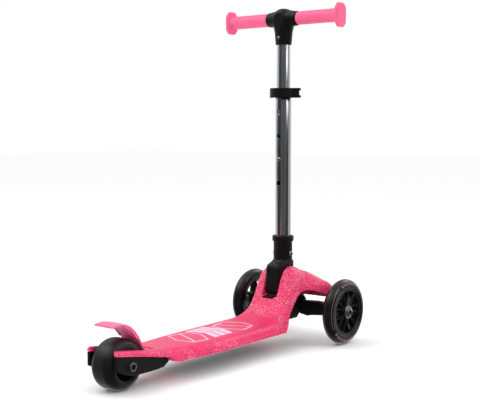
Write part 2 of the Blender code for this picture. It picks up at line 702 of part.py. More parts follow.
def wheel(label, centre, radius, tyre_width, core_radius, hub_half, crown, spokes):
    """Tyre, hub, two bearings and the spacer between them, all turning about X."""
    place = Matrix.Translation(centre) @ ALONG_X
    half = tyre_width / 2
    profile = tyre_profile(radius, half, core_radius + GAP, crown)
    tyre = turned(f"{label}_tyre", profile, TYRE, place, True, 44)
    profile = tube_profile(core_radius, core_radius - 0.003, half - 0.0015, 0.0015 - half)
    hub = turned(f"{label}_hub", profile, BLACK, place, True, 40)
    profile = tube_profile(0.0145, 0.006, hub_half, -hub_half)
    boss = turned(f"{label}_hub_boss", profile, None, place, True, 24)
    windows = [spoke_window(i, spokes, 0.0165, core_radius - 0.0045) for i in range(spokes)]
    outline = [circle(core_radius - 0.0015, 40), circle(0.0135, 24)] + windows
    join(hub, flat(f"{label}_hub_web", outline, tyre_width * 0.42, place), boss)
    seat = hub_half - BEARING_WIDTH - 0.0005
    pocket_r = BEARING_R + 0.0002
    bearings = []
    for side, name in ((-1, "inner"), (1, "outer")):
        low, high = sorted((side * seat, side * (hub_half + 0.002)))
        profile = [(0, high), (pocket_r, high), (pocket_r, low), (0, low)]
        cut(hub, turned(f"{label}_pocket_{name}", profile, None, place, steps=24))
        middle = side * (hub_half - BEARING_WIDTH / 2 - 0.0001)
        top, bottom = middle + BEARING_WIDTH / 2, middle - BEARING_WIDTH / 2
        profile = tube_profile(BEARING_R, AXLE_HOLE_R, top, bottom)
        bearings.append(turned(f"{label}_bearing_{name}", profile, STEEL, place, True, 24))
    profile = tube_profile(0.0056, AXLE_HOLE_R, seat, -seat)
    spacer = turned(f"{label}_bearing_spacer", profile, STEEL, place, True, 20)
    joint_empty(f"{label}_spin", centre, [tyre, hub, spacer, *bearings])


def spoke_window(index, count, inner, outer):
    """The opening between one swept spoke and the next."""
    pitch = math.tau / count
    start = index * pitch
    sweep = 0.22
    rib = 0.0016

    def at(radius, side):
        share = (radius - inner) / (outer - inner)
        angle = start + sweep * share * share + (rib / radius if side == 0 else pitch - rib / radius)
        return (radius * math.cos(angle), radius * math.sin(angle))

    radii = [inner + (outer - inner) * t for t in (0.0, 0.33, 0.66, 1.0)]
    mid_angle = start + sweep + pitch / 2
    cap = (outer * 1.005 * math.cos(mid_angle), outer * 1.005 * math.sin(mid_angle))
    return [at(r, 0) for r in radii] + [cap] + [at(r, 1) for r in reversed(radii)]


# ---------------------------------------------------------------- rear end
def rear_bracket():
    """A fork under the tail: two cheeks beside the wheel and a block in front of it."""
    y, z, tail = REAR_Y, REAR_Z, REAR_Y + REAR_WHEEL_R
    outline = [
        (y - 0.032, z - 0.001), (y - 0.032, z + 0.0210 - GAP), (y, z + 0.0155 - GAP),
        (tail - 0.004, z + 0.0090 - GAP), (tail + 0.020, z + 0.0045 - GAP), (tail + 0.0355, z + 0.0020 - GAP),
        (tail + 0.0430, DECK_BOTTOM + 0.0005), (tail + 0.030, z - 0.0145), (y + 0.040, z - 0.0160),
        (y + 0.004, z - 0.0150), (y - 0.010, z - 0.0115), (y - 0.022, z - 0.0060),
    ]
    bracket = side_plate("rear_bracket", [outline], BRACKET_INNER, BRACKET_OUTER, BLACK)
    left = side_plate("bracket_left", [outline], -BRACKET_OUTER, -BRACKET_INNER)
    block_outline = [
        (tail + 0.0085, z + 0.0010), (tail + 0.020, z + 0.0010), (tail + 0.0355, z),
        (tail + 0.040, DECK_BOTTOM), (tail + 0.028, z - 0.0140), (tail + 0.0070, z - 0.0150),
    ]
    block = side_plate("bracket_block", [block_outline], -BRACKET_INNER - 0.003, BRACKET_INNER + 0.003)
    join(bracket, block, left)
    cut(bracket, x_rod("bracket_axle_bore", 0.05, y, z, AXLE_HOLE_R, segments=20))


def rear_axle():
    """Axle bolt through the fork, its nut, and a washer at each end of the hub."""
    y, z, face = REAR_Y, REAR_Z, BRACKET_OUTER
    head_r = 0.0068
    bolt = cross_rod("rear_axle_bolt", -face - 0.0040, face + 0.0005, y, z, AXLE_R, STEEL, 24)
    head = cross_rod("rear_bolt_head", face + GAP, face + 0.0035, y, z, head_r, segments=24)
    socket = cross_rod("rear_bolt_socket", face + 0.0010, face + 0.006, y, z, 0.0032, segments=6)
    cut(join(bolt, head), socket)
    nut = cross_rod("rear_axle_nut", -face - 0.0042, -face - GAP, y, z, head_r, STEEL, 6)
    cut(nut, cross_rod("rear_nut_bore", -face - 0.01, 0.002 - face, y, z, AXLE_HOLE_R))
    for side, label in ((-1, "left"), (1, "right")):
        low, high = sorted((side * (REAR_HUB_HALF + GAP), side * (BRACKET_INNER - GAP)))
        washer = cross_rod(f"rear_washer_{label}", low, high, y, z, 0.0065, STEEL)
        cut(washer, cross_rod(f"washer_bore_{label}", low - 0.01, high + 0.01, y, z, AXLE_HOLE_R))


def over_wheel(points):
    """Points drawn about a wheel of 40 mm radius, moved out with a bigger one and kept at the hinge."""
    grow = REAR_WHEEL_R - 0.040
    hinge = BRAKE_Y - REAR_Y - grow
    return [(REAR_Y + a + grow, REAR_Z + b + grow * (hinge - a) / hinge) for a, b in points]


def brake():
    """A step-on fender: a tread plate that curls down to its hinge, and a shoe over the tyre."""
    plate = over_wheel([
        (-0.028, 0.0640), (-0.012, 0.0652), (0.000, 0.0635), (0.010, 0.0590), (0.020, 0.0505),
        (0.0285, 0.0400), (0.035, 0.0290), (0.0410, 0.0185), (0.0470, 0.0135), (0.0535, 0.0140),
    ])
    half = BRAKE_HALF_WIDTH
    fender = side_plate("brake_fender", [ribbon(plate, 0.0034)], -half, half, LIGHT_PINK)
    for side in (-1, 1):
        x_ends = sorted((side * (half - 0.003), side * half))
        skirt = side_plate(f"brake_skirt_{side}", [ribbon(plate[2:6], 0.0058)], *x_ends)
        join(fender, skirt)
    shoe = over_wheel([
        (-0.003, 0.0625), (0.008, 0.0530), (0.0165, 0.0440), (0.0215, 0.0400), (0.0275, 0.0355),
    ])
    web = side_plate("brake_shoe_web", [ribbon(shoe, 0.0028, side=1)], -0.0125, 0.0125)
    barrel = x_rod("brake_barrel", half, BRAKE_Y, BRAKE_Z, 0.0050, segments=20)
    join(fender, web, barrel)
    cut(fender, x_rod("brake_pin_bore", 0.05, BRAKE_Y, BRAKE_Z, BRAKE_BORE_R, segments=16))
    x_rod("brake_pin", 0.0290, BRAKE_Y, BRAKE_Z, BRAKE_PIN_R, STEEL, 16)
    joint_empty("brake_hinge", (0, BRAKE_Y, BRAKE_Z), [fender])


# ---------------------------------------------------------------- stem
def rounded_ring(half_x, y_low, y_high, z, power, count=32):
    """A rounded rectangle, or a circle when the power is 2, at one height."""
    centre, half_y = (y_low + y_high) / 2, (y_high - y_low) / 2
    points = []
    for i in range(count):
        angle = math.tau * i / count
        c, s = math.cos(angle), math.sin(angle)
        x = half_x * math.copysign(abs(c) ** (2 / power), c)
        y = half_y * math.copysign(abs(s) ** (2 / power), s)
        points.append((x, STEM_Y + centre + y, z))
    return points


def fold_knuckle():
    """The socket for the lower tube, with a tongue that hinges in the slot."""
    z = FRONT_Z
    half = SLOT_HALF_WIDTH - 0.0010
    rear, front = PIVOT_Y - BARREL_R - STEM_Y, 0.0150
    rings = [
        rounded_ring(half, rear, front, PIVOT_Z + 0.003, 9),
        rounded_ring(half, rear, front, z + 0.079, 9),
        rounded_ring(half + 0.001, rear + 0.002, front + 0.001, z + 0.0845, 6),
        rounded_ring(0.0187, -0.0205, 0.0187, z + 0.0900, 2.6),
        rounded_ring(0.0184, -0.0184, 0.0184, z + 0.0930, 2),
    ]
    knuckle = loft("fold_knuckle", rings, BLACK)
    body_r = LOWER_TUBE_R + SOCKET_WALL
    collar_r = body_r + 0.0025
    foot = z + 0.0915
    profile = [
        (0.0, COLLAR_TOP), (collar_r - 0.0015, COLLAR_TOP), (collar_r, COLLAR_TOP - 0.0015),
        (collar_r, COLLAR_TOP - 0.0095), (collar_r - 0.0012, COLLAR_TOP - 0.0110),
        (body_r, COLLAR_TOP - 0.0118), (body_r, foot), (0.0, foot),
    ]
    socket = turned("knuckle_socket", profile, None, Matrix.Translation((0, STEM_Y, 0)), steps=36)
    barrel = x_rod("knuckle_barrel", half, PIVOT_Y, PIVOT_Z, BARREL_R, segments=28)
    join(knuckle, socket, barrel)
    ends = (0, STEM_Y, z + 0.094), (0, STEM_Y, COLLAR_TOP + 0.01)
    bore = rod("knuckle_bore", *ends, LOWER_TUBE_R + GAP)
    pin_bore = x_rod("knuckle_pin_bore", 0.05, PIVOT_Y, PIVOT_Z, PIN_HOLE_R, segments=20)
    cross_bore = x_rod("knuckle_cross_bore", 0.05, STEM_Y, CROSS_BOLT_Z, CROSS_BORE_R, segments=16)
    return cut(knuckle, bore, pin_bore, cross_bore)


def cross_bolt():
    """Bolt and cap nut that hold the lower tube in the knuckle."""
    y, z = STEM_Y, CROSS_BOLT_Z
    side = LOWER_TUBE_R + SOCKET_WALL
    wide, narrow = 0.0048, 0.0036
    bolt = cross_rod("cross_bolt", -side - 0.0012, side + 0.0008, y, z, 0.0025, STEEL, 16)
    join(bolt, cross_rod("cross_bolt_head", side + 0.0004, side + 0.0028, y, z, wide, end_radius=narrow))
    nut = cross_rod("cross_nut", -side - 0.0004, -side - 0.0030, y, z, wide, STEEL, end_radius=narrow)
    cut(nut, cross_rod("cross_nut_bore", 0.002 - side, -side - 0.0016, y, z, CROSS_BORE_R, segments=16))
    return bolt, nut


def lower_tube():
    z_low, z_high = FRONT_Z + 0.0945, CLAMP_Z + CLAMP_HEIGHT / 2 - 0.002
    profile = tube_profile(LOWER_TUBE_R, LOWER_TUBE_BORE_R, z_high, z_low)
    tube = turned("lower_tube", profile, CHROME, Matrix.Translation((0, STEM_Y, 0)), True)
    for i in range(-1, 3):
        z = SNAP_Z + i * HOLE_PITCH
        ends = (0, STEM_Y - 0.025, z), (0, STEM_Y - 0.005, z)
        cut(tube, rod(f"height_hole_{i + 2}", *ends, 0.0045, segments=20))
    return cut(tube, x_rod("tube_cross_bore", 0.05, STEM_Y, CROSS_BOLT_Z, CROSS_BORE_R, segments=16))


def upper_tube():
    """The inner tube. A long slot at its rear clears the snap button at every height."""
    z_low = SNAP_Z - 2 * HOLE_PITCH - 0.018
    z_high = BAR_Z - 0.0115
    profile = tube_profile(UPPER_TUBE_R, UPPER_TUBE_BORE_R, z_high, z_low)
    tube = turned("upper_tube", profile, CHROME, Matrix.Translation((0, STEM_Y, 0)), True)
    low, high = SNAP_Z - 2 * HOLE_PITCH - 0.007, SNAP_Z + HOLE_PITCH + 0.007
    slot = box("upper_tube_slot", (-0.0048, STEM_Y - 0.020, low), (0.0048, STEM_Y - 0.006, high))
    return cut(tube, slot)


def snap_button():
    """The button in the lower tube's hole, and the spring that pushes it out."""
    outer = STEM_Y - LOWER_TUBE_R - 0.0014
    button = rod("snap_button", (0, outer, SNAP_Z), (0, STEM_Y - 0.0088, SNAP_Z), 0.0041, STEEL, 20)
    add_bevel(button, 0.0008)
    joint_empty("snap_slide", (0, STEM_Y, SNAP_Z), [button])
    ends = (0, STEM_Y - 0.0085, SNAP_Z), (0, STEM_Y + UPPER_TUBE_BORE_R - 0.0006, SNAP_Z)
    rod("snap_spring", *ends, 0.0022, STEEL, 12)


def clamp_point(along, toward, z=0.0):
    """A place by the clamp: along the ears' direction, and toward the lever's side."""
    c, s = math.cos(EAR_DIRECTION), math.sin(EAR_DIRECTION)
    return Vector((along * c + toward * s, STEM_Y + along * s - toward * c, CLAMP_Z + z))


def clamp_frame():
    c, s = math.cos(EAR_DIRECTION), math.sin(EAR_DIRECTION)
    turn = Matrix(((c, s, 0, 0), (s, -c, 0, 0), (0, 0, -1, 0), (0, 0, 0, 1)))
    return Matrix.Translation((0, STEM_Y, CLAMP_Z)) @ turn


def clamp_rod(name, half, radius, material=None, segments=16):
    """A rod on the lever's pin axis."""
    ends = [clamp_point(EAR_MIDDLE, PIVOT_TOWARD, z) for z in (-half, half)]
    return rod(name, *ends, radius, material, segments)


def ear_rod(name, start, end, radius, material=None, segments=16):
    """A rod across the ears, on the clamp bolt's axis."""
    ends = [clamp_point(EAR_MIDDLE, toward) for toward in (start, end)]
    return rod(name, *ends, radius, material, segments)


def clamp_parts():
    """A split collar, its cross bolt and nut, and the cam lever that wraps round it."""
    height = CLAMP_HEIGHT - 0.0030
    profile = tube_profile(CLAMP_R, LOWER_TUBE_R + GAP, height / 2, -height / 2, 0.0012)
    collar = turned("clamp_collar", profile, BLACK, Matrix.Translation((0, STEM_Y, CLAMP_Z)), True)
    ear_outline = [(0.0168, -0.0068), (0.0290, -0.0062), (0.0290, 0.0062), (0.0168, 0.0068)]
    ears = flat("clamp_ears", [ear_outline], height - 0.001, clamp_frame())
    gap_outline = [(0.010, -0.0014), (0.040, -0.0014), (0.040, 0.0014), (0.010, 0.0014)]
    gap = flat("clamp_gap", [gap_outline], 0.05, clamp_frame())
    bore = rod("clamp_bore", (0, STEM_Y, CLAMP_Z - 0.02), (0, STEM_Y, CLAMP_Z + 0.02), LOWER_TUBE_R + GAP)
    cut(join(collar, ears), bore, gap, ear_rod("clamp_bolt_hole", -0.02, 0.02, 0.0024))
    bolt = ear_rod("clamp_bolt", -0.0108, PIVOT_TOWARD, 0.0021, STEEL)
    join(bolt, clamp_rod("clamp_bolt_eye", 0.0036, 0.0046, segments=20))
    cut(bolt, clamp_rod("clamp_eye_bore", 0.01, 0.0020))
    nut = ear_rod("clamp_nut", -0.0070, -0.0106, 0.0048, STEEL, 20)
    cut(nut, ear_rod("clamp_nut_bore", -0.004, -0.02, 0.0024))
    pin = clamp_rod("clamp_lever_pin", CLAMP_HEIGHT / 2 - 0.0010, 0.0017, STEEL)
    joint_empty("clamp_lever_hinge", clamp_point(EAR_MIDDLE, PIVOT_TOWARD), [clamp_lever()])
    return collar, bolt, nut, pin


def about_pivot(radius, degrees):
    """A place round the lever's pin, in the clamp's own frame."""
    angle = math.radians(degrees)
    return (EAR_MIDDLE + radius * math.cos(angle), PIVOT_TOWARD + radius * math.sin(angle))


def clamp_lever():
    """A crescent round the collar that ends in a round fork about its pin and the bolt's eye."""
    inner = CLAMP_R + 0.0012
    outer = inner + 0.0050
    arc = [math.radians(d) for d in range(52, 196, 12)]
    outside = [(outer * math.cos(a), outer * math.sin(a)) for a in arc]
    inside = [(inner * math.cos(a), inner * math.sin(a)) for a in reversed(arc)]
    fork = [about_pivot(LEVER_FORK_R, d) for d in range(200, 471, 18)]
    lever = flat("clamp_lever", [fork + outside + inside], CLAMP_HEIGHT, clamp_frame(), BLACK)
    mouth = flat("lever_mouth", [circle(0.0054, 20, (EAR_MIDDLE, PIVOT_TOWARD))], 0.0082, clamp_frame())
    swing = [about_pivot(0.0, 0)] + [about_pivot(0.014, d) for d in range(236, 413, 16)]
    swing_room = flat("lever_swing_room", [swing], 0.0082, clamp_frame())
    pin_bore = clamp_rod("lever_pin_bore", 0.02, 0.0020)
    return cut(lever, mouth, swing_room, pin_bore)


# ---------------------------------------------------------------- handlebar
def t_bar():
    """The tee that joins the upper tube to the handlebar."""
    z, z_low, screw_z = BAR_Z, BAR_Z - 0.0470, BAR_Z - 0.034
    sleeve_r = UPPER_TUBE_R + 0.0019
    stem_profile = [
        (0.0, z + 0.0190), (0.0060, z + 0.0188), (0.0120, z + 0.0165), (0.0165, z + 0.0120),
        (0.0205, z + 0.0030), (0.0205, z - 0.0080), (0.0185, z - 0.0150), (0.0165, z - 0.0240),
        (sleeve_r, z_low), (0.0, z_low),
    ]
    tee = turned("t_bar", stem_profile, BLACK, Matrix.Translation((0, STEM_Y, 0)), steps=32)
    corners = (-0.03, STEM_Y - 0.0170, z_low - 0.01), (0.03, STEM_Y + 0.0170, z + 0.03)
    boolean(tee, box("t_bar_squash_tool", *corners), "INTERSECT")
    arm_profile = [
        (0.0, 0.0325), (0.0124, 0.0325), (0.0132, 0.0312), (0.0136, 0.0260), (0.0146, 0.0200),
        (0.0160, 0.0120), (0.0166, 0.0),
    ]
    arm_profile += [(r, -h) for r, h in reversed(arm_profile[:-1])]
    place = Matrix.Translation((0, STEM_Y, z)) @ ALONG_X
    arms = turned("t_bar_arms", arm_profile, None, place, steps=28)
    bore = rod("t_bar_stem_bore", (0, STEM_Y, z_low - 0.01), (0, STEM_Y, z - 0.0112), UPPER_TUBE_R + GAP)
    bar_bore = x_rod("t_bar_bar_bore", 0.05, STEM_Y, z, BAR_TUBE_R + GAP, segments=24)
    ends = (0, STEM_Y - 0.03, screw_z), (0, STEM_Y - 0.012, screw_z)
    screw_bore = rod("t_bar_screw_bore", *ends, 0.0027, segments=16)
    cut(join(tee, arms), bore, bar_bore, screw_bore)
    ends = (0, STEM_Y - 0.0162, screw_z), (0, STEM_Y - UPPER_TUBE_R - 0.0004, screw_z)
    return tee, rod("t_bar_screw", *ends, 0.0024, STEEL, 16)


def grip(side, label, tube_half):
    """A rubber sleeve whose outer end is a flat eight-sided flange."""
    inner_x, flange_x = side * 0.0330, side * (BAR_HALF_LENGTH - FLANGE_WIDTH)
    sleeve = cross_rod(
        f"grip_{label}", inner_x, flange_x + side * 0.001, STEM_Y, BAR_Z, GRIP_R, LIGHT_PINK, 36
    )
    quarter = [(1, 0.62), (0.55, 1)]
    half = quarter + [(-a, b) for a, b in reversed(quarter)]
    corners = half + [(-a, -b) for a, b in half]
    loop = [(STEM_Y + 0.0145 * a, BAR_Z + 0.0212 * b) for a, b in corners]
    x_ends = sorted((flange_x, side * BAR_HALF_LENGTH))
    flange = side_plate(f"grip_flange_{label}", [loop], *x_ends)
    add_bevel(flange, 0.0022)
    ends = inner_x - side * 0.01, side * (tube_half + 0.0006)
    bore = cross_rod(f"grip_bore_{label}", *ends, STEM_Y, BAR_Z, BAR_TUBE_R + GAP, segments=28)
    return cut(join(sleeve, flange), bore)


def handlebar():
    half = BAR_HALF_LENGTH - 0.006
    place = Matrix.Translation((0, STEM_Y, BAR_Z)) @ ALONG_X
    profile = tube_profile(BAR_TUBE_R, BAR_TUBE_R - 0.0015, half, -half)
    tube = turned("handlebar_tube", profile, STEEL, place, True, 28)
    return [tube, grip(-1, "left", half), grip(1, "right", half)]


def release_channel():
    """The channel in the slot's floor that the fold release slides in, and the way down for its peg."""
    channel = box(
        "release_channel",
        (-RELEASE_HALF - GAP, STEM_Y - 0.090, SLOT_FLOOR - RELEASE_SINK - GAP),
        (RELEASE_HALF + GAP, RELEASE_Y + RELEASE_LENGTH + RELEASE_TRAVEL + RUN, SLOT_FLOOR + 0.002),
    )
    peg_way = box(
        "release_peg_way",
        (-PEG_HALF - 0.0009, PEG_Y - 0.0013, HOUSING_TOP - 0.002),
        (PEG_HALF + 0.0009, PEG_Y + PEG_DEPTH + RELEASE_TRAVEL + 0.0018, SLOT_FLOOR + 0.002),
    )
    return channel, peg_way


def fold_release():
    """A flat slider in the slot's floor, pushed forward at its rear end, with a peg and its spring."""
    plate = box(
        "fold_release",
        (-RELEASE_HALF, RELEASE_Y, SLOT_FLOOR - RELEASE_SINK),
        (RELEASE_HALF, RELEASE_Y + RELEASE_LENGTH, SLOT_FLOOR + 0.0006),
        BLACK,
        0.0006,
    )
    peg = box(
        "release_peg",
        (-PEG_HALF, PEG_Y, HOUSING_TOP - 0.0055),
        (PEG_HALF, PEG_Y + PEG_DEPTH, SLOT_FLOOR - 0.001),
    )
    join(plate, peg)
    z = HOUSING_TOP - 0.0028
    ends = (0, PEG_Y + PEG_DEPTH + RUN, z), (0, LATCH_POCKET_END - GAP, z)
    rod("release_spring", *ends, 0.0020, STEEL, 12)
    joint_empty("fold_release_slide", (0, RELEASE_Y, SLOT_FLOOR), [plate])


def build():
    deck_body()
    underside_cover()
    cover_screws()
    steering_housing()
    kingpin_parts()
    x_rod("fold_pin", HOUSING_HALF, PIVOT_Y, PIVOT_Z, PIN_R, STEEL, 20)
    fold_release()
    truck = [axle_beam()]
    for side, label in ((-1, "left"), (1, "right")):
        truck.append(front_axle(side, label))
        centre = (side * HALF_TRACK, FRONT_Y, FRONT_Z)
        wheel(f"front_{label}", centre, FRONT_WHEEL_R, FRONT_TYRE_WIDTH,
              FRONT_CORE_R, FRONT_HUB_HALF, FRONT_CROWN, FRONT_SPOKES)
    joint_empty("steering_hinge", kingpin_point(0), truck)
    wheel("rear", (0, REAR_Y, REAR_Z), REAR_WHEEL_R, REAR_TYRE_WIDTH,
          REAR_CORE_R, REAR_HUB_HALF, REAR_CROWN, REAR_SPOKES)
    rear_bracket()
    rear_axle()
    brake()
    snap_button()
    stem = [fold_knuckle(), *cross_bolt(), lower_tube(), *clamp_parts()]
    joint_empty("fold_hinge", (0, PIVOT_Y, PIVOT_Z), stem)
    joint_empty("height_slide", (0, STEM_Y, CLAMP_Z), [upper_tube(), *t_bar(), *handlebar()])


build()
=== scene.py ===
"""Looks for the children's kick scooter: fine surfaces, materials, floor, light and camera.

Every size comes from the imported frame. Metres, +Z up, +Y the direction of travel.
"""

import json
import math

import bmesh
import bpy
from mathutils import Matrix, Vector


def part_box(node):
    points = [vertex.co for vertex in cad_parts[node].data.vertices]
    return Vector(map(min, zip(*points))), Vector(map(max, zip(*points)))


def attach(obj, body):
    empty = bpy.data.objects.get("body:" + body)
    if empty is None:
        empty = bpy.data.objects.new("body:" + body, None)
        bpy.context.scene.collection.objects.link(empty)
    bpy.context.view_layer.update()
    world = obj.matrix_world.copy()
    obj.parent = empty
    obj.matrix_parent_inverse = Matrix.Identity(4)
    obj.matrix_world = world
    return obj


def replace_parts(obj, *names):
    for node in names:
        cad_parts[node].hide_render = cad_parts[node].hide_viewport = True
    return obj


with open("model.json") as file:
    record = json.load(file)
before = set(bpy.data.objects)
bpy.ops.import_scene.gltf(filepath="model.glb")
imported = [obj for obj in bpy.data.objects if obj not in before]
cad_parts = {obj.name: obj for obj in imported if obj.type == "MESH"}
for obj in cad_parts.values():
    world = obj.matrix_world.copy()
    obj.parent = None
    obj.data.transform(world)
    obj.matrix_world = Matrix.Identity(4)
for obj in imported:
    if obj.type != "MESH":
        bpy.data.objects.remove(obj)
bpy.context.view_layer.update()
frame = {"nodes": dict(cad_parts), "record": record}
NODES = frame["nodes"]
RECORD = frame["record"]
BODY_OF = {n: b for b, names in RECORD["behaviour"]["bodies"].items() for n in names}

# ---------------------------------------------------------------- places read from the frame


def middle(node):
    low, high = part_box(node)
    return (low + high) / 2


def size(node):
    low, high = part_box(node)
    return high - low


FRONT_R = size("front_right_tyre").z / 2
FRONT_WIDTH = size("front_right_tyre").x
FRONT_Z = middle("front_right_tyre").z
REAR_R = size("rear_tyre").z / 2
REAR_WIDTH = size("rear_tyre").x
REAR_Y = middle("rear_tyre").y
REAR_Z = middle("rear_tyre").z
STEM_Y = middle("lower_tube").y
HUB_RIM_R = size("front_right_hub").z / 2
BEARING_R = size("rear_bearing_inner").z / 2 + 0.0002
BEARING_SEAT = size("rear_bearing_inner").x + 0.0005
BEARING_BORE_R = 0.0043
SHELL_WALL = 0.0035
COVER_SEAT = 0.0025
RUN = 0.0005
GAP = 0.0003
DECK_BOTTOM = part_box("underside_cover")[0].z - 0.0001
DECK_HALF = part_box("underside_cover")[1].x + SHELL_WALL + RUN
DECK_TOP = DECK_BOTTOM + 0.0195
WING_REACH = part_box("deck_body")[1].x
PIVOT_Y = middle("fold_pin").y
PIVOT_Z = middle("fold_pin").z
PIN_R = size("fold_pin").z / 2
BRAKE_Y = middle("brake_pin").y
BRAKE_Z = middle("brake_pin").z
SLOT_HALF = 0.017
SLOT_FLOOR = FRONT_Z + 0.029
SLOT_FRONT = STEM_Y + 0.0185
HOUSING_TOP = FRONT_Z + 0.024
FORK_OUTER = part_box("rear_bracket")[1].x
FORK_INNER = FORK_OUTER - 0.006
FRONT_CROWN = 0.0125
REAR_CROWN = 0.0150
TOOL_TOP = 0.3
CORE_REAR = STEM_Y - 0.080
CORE_HALF = SLOT_HALF + SHELL_WALL
WELD = 0.000002
BROKEN_EDGE = 0.0003
EDGE_ANGLE = 35
SPRING_WIRE = 0.0003
PRINT_OVER = 0.00012
PRINT_UNDER = -0.0006

X_AXIS = Matrix.Rotation(math.pi / 2, 4, "Y")


# ---------------------------------------------------------------- materials
class Shade:
    """A node material under construction."""

    def __init__(self, name, colour, roughness, metallic=0.0, specular=0.5):
        self.material = bpy.data.materials.new(name)
        self.material.use_nodes = True
        self.tree = self.material.node_tree
        self.shader = self.tree.nodes["Principled BSDF"]
        self.base = (*colour, 1.0)
        self.set("Base Color", self.base)
        self.set("Roughness", roughness)
        self.set("Metallic", metallic)
        self.set("Specular IOR Level", specular)
        self.place = self.node("ShaderNodeTexCoord").outputs["Object"]

    def set(self, socket, value):
        target = self.shader.inputs[socket]
        if isinstance(value, bpy.types.NodeSocket):
            self.tree.links.new(value, target)
        else:
            target.default_value = value

    def node(self, kind, inputs=None, **settings):
        made = self.tree.nodes.new(kind)
        for name, value in settings.items():
            setattr(made, name, value)
        for name, value in (inputs or {}).items():
            if isinstance(value, bpy.types.NodeSocket):
                self.tree.links.new(value, made.inputs[name])
            else:
                made.inputs[name].default_value = value
        return made

    def maths(self, operation, a, b):
        return self.node("ShaderNodeMath", {0: a, 1: b}, operation=operation, use_clamp=True).outputs[0]

    def spread(self, value, low, high, to_low=0.0, to_high=1.0):
        """The value carried from one range to another, and held at its ends."""
        made = self.node("ShaderNodeMapRange", {"Value": value, "From Min": low, "From Max": high,
                                                "To Min": to_low, "To Max": to_high})
        return made.outputs["Result"]

    def noise(self, scale, detail, stretch=(1, 1, 1)):
        place = self.place
        if stretch != (1, 1, 1):
            place = self.node("ShaderNodeMapping", {"Vector": place, "Scale": stretch}).outputs["Vector"]
        made = self.node("ShaderNodeTexNoise", {"Vector": place, "Scale": scale, "Detail": detail,
                                                "Roughness": 0.55})
        return made.outputs["Fac"]

    def cells(self, scale):
        """Distance to a scattered point, and that point's own random number."""
        made = self.node("ShaderNodeTexVoronoi", {"Vector": self.place, "Scale": scale})
        split = self.node("ShaderNodeSeparateColor", {"Color": made.outputs["Color"]})
        return made.outputs["Distance"], split.outputs["Red"]

    def mix(self, share, low, high):
        made = self.node("ShaderNodeMix", {0: share, 6: low, 7: high}, data_type="RGBA")
        return made.outputs[2]

    def bump(self, height, strength, distance):
        made = self.node("ShaderNodeBump", {"Height": height, "Strength": strength, "Distance": distance})
        return made.outputs["Normal"]

    def position(self):
        split = self.node("ShaderNodeSeparateXYZ", {"Vector": self.place})
        return [split.outputs[axis] for axis in "XYZ"]

    def facing(self):
        """The upward part of the surface's normal."""
        geometry = self.node("ShaderNodeNewGeometry")
        split = self.node("ShaderNodeSeparateXYZ", {"Vector": geometry.outputs["Normal"]})
        return split.outputs["Z"]

    def edges(self, low, high):
        """One along outer edges, from how sharply the surface turns."""
        geometry = self.node("ShaderNodeNewGeometry")
        return self.spread(geometry.outputs["Pointiness"], low, high)


def moulded(name, colour, roughness, grain=0.25, edge_highlight=None, specular=0.5):
    """Injection-moulded plastic: fine spark-eroded grain, slow unevenness of tone and a painted highlight
    along its outer edges.
    """
    shade = Shade(name, colour, roughness, specular=specular)
    cloud = shade.noise(35, 4)
    darker = tuple(c * 0.82 for c in colour) + (1.0,)
    tone = shade.mix(shade.spread(cloud, 0.35, 0.7), darker, shade.base)
    # The edge colour is a painted highlight: outer edges are made lighter where the surface turns sharply,
    # standing in for light caught on the rims.
    edge_highlight = edge_highlight or tuple(min(1.0, c * 1.25 + 0.02) for c in colour)
    tone = shade.mix(shade.edges(0.52, 0.60), tone, (*edge_highlight, 1.0))
    shade.set("Base Color", tone)
    shade.set("Roughness", shade.spread(cloud, 0.3, 0.7, roughness - 0.05, roughness + 0.07))
    fine = shade.noise(1500, 2)
    shade.set("Normal", shade.bump(fine, grain, 0.0002))
    return shade


def speckled_pink():
    """The deck's pink: pale flecks scattered over its sides and neck, few on the tread."""
    # The colour (0.92, 0.10, 0.24) is the painted highlight along the deck's outer edges.
    shade = moulded("pink_speckled", (0.80, 0.014, 0.120), 0.40, 0.30, (0.92, 0.10, 0.24), specular=0.32)
    flecks = None
    for scale, radius, rare in ((820, 0.34, 0.42), (520, 0.27, 0.60)):
        distance, chance = shade.cells(scale)
        dot = shade.maths("LESS_THAN", distance, radius)
        kept = shade.maths("GREATER_THAN", chance, rare)
        spot = shade.maths("MULTIPLY", dot, kept)
        flecks = spot if flecks is None else shade.maths("MAXIMUM", flecks, spot)
    _, y, _ = shade.position()
    side = shade.spread(shade.facing(), 0.97, 0.80)
    neck = shade.spread(y, STEM_Y - 0.085, STEM_Y - 0.060)
    patchy = shade.spread(shade.noise(28, 2), 0.40, 0.62, 0.25, 1.0)
    where = shade.maths("MULTIPLY", shade.maths("MAXIMUM", side, neck), patchy)
    share = shade.maths("MULTIPLY", flecks, shade.spread(where, 0.0, 1.0, 0.10, 0.85))
    tone = shade.shader.inputs["Base Color"].links[0].from_socket
    shade.set("Base Color", shade.mix(share, tone, (1.0, 0.62, 0.74, 1.0)))
    return shade.material


def polished(name, colour, roughness, streak):
    """Drawn, plated tube: long faint streaks along it and a few fine pits."""
    shade = Shade(name, colour, roughness, metallic=1.0)
    drawn = shade.noise(900, 3, stretch=(1, 1, 0.02))
    smear = shade.noise(14, 3)
    shade.set("Roughness", shade.spread(smear, 0.3, 0.75, roughness, roughness + 0.08))
    dull = tuple(c * 0.90 for c in colour) + (1.0,)
    shade.set("Base Color", shade.mix(shade.spread(smear, 0.45, 0.7), shade.base, dull))
    shade.set("Normal", shade.bump(drawn, streak, 0.0001))
    return shade.material


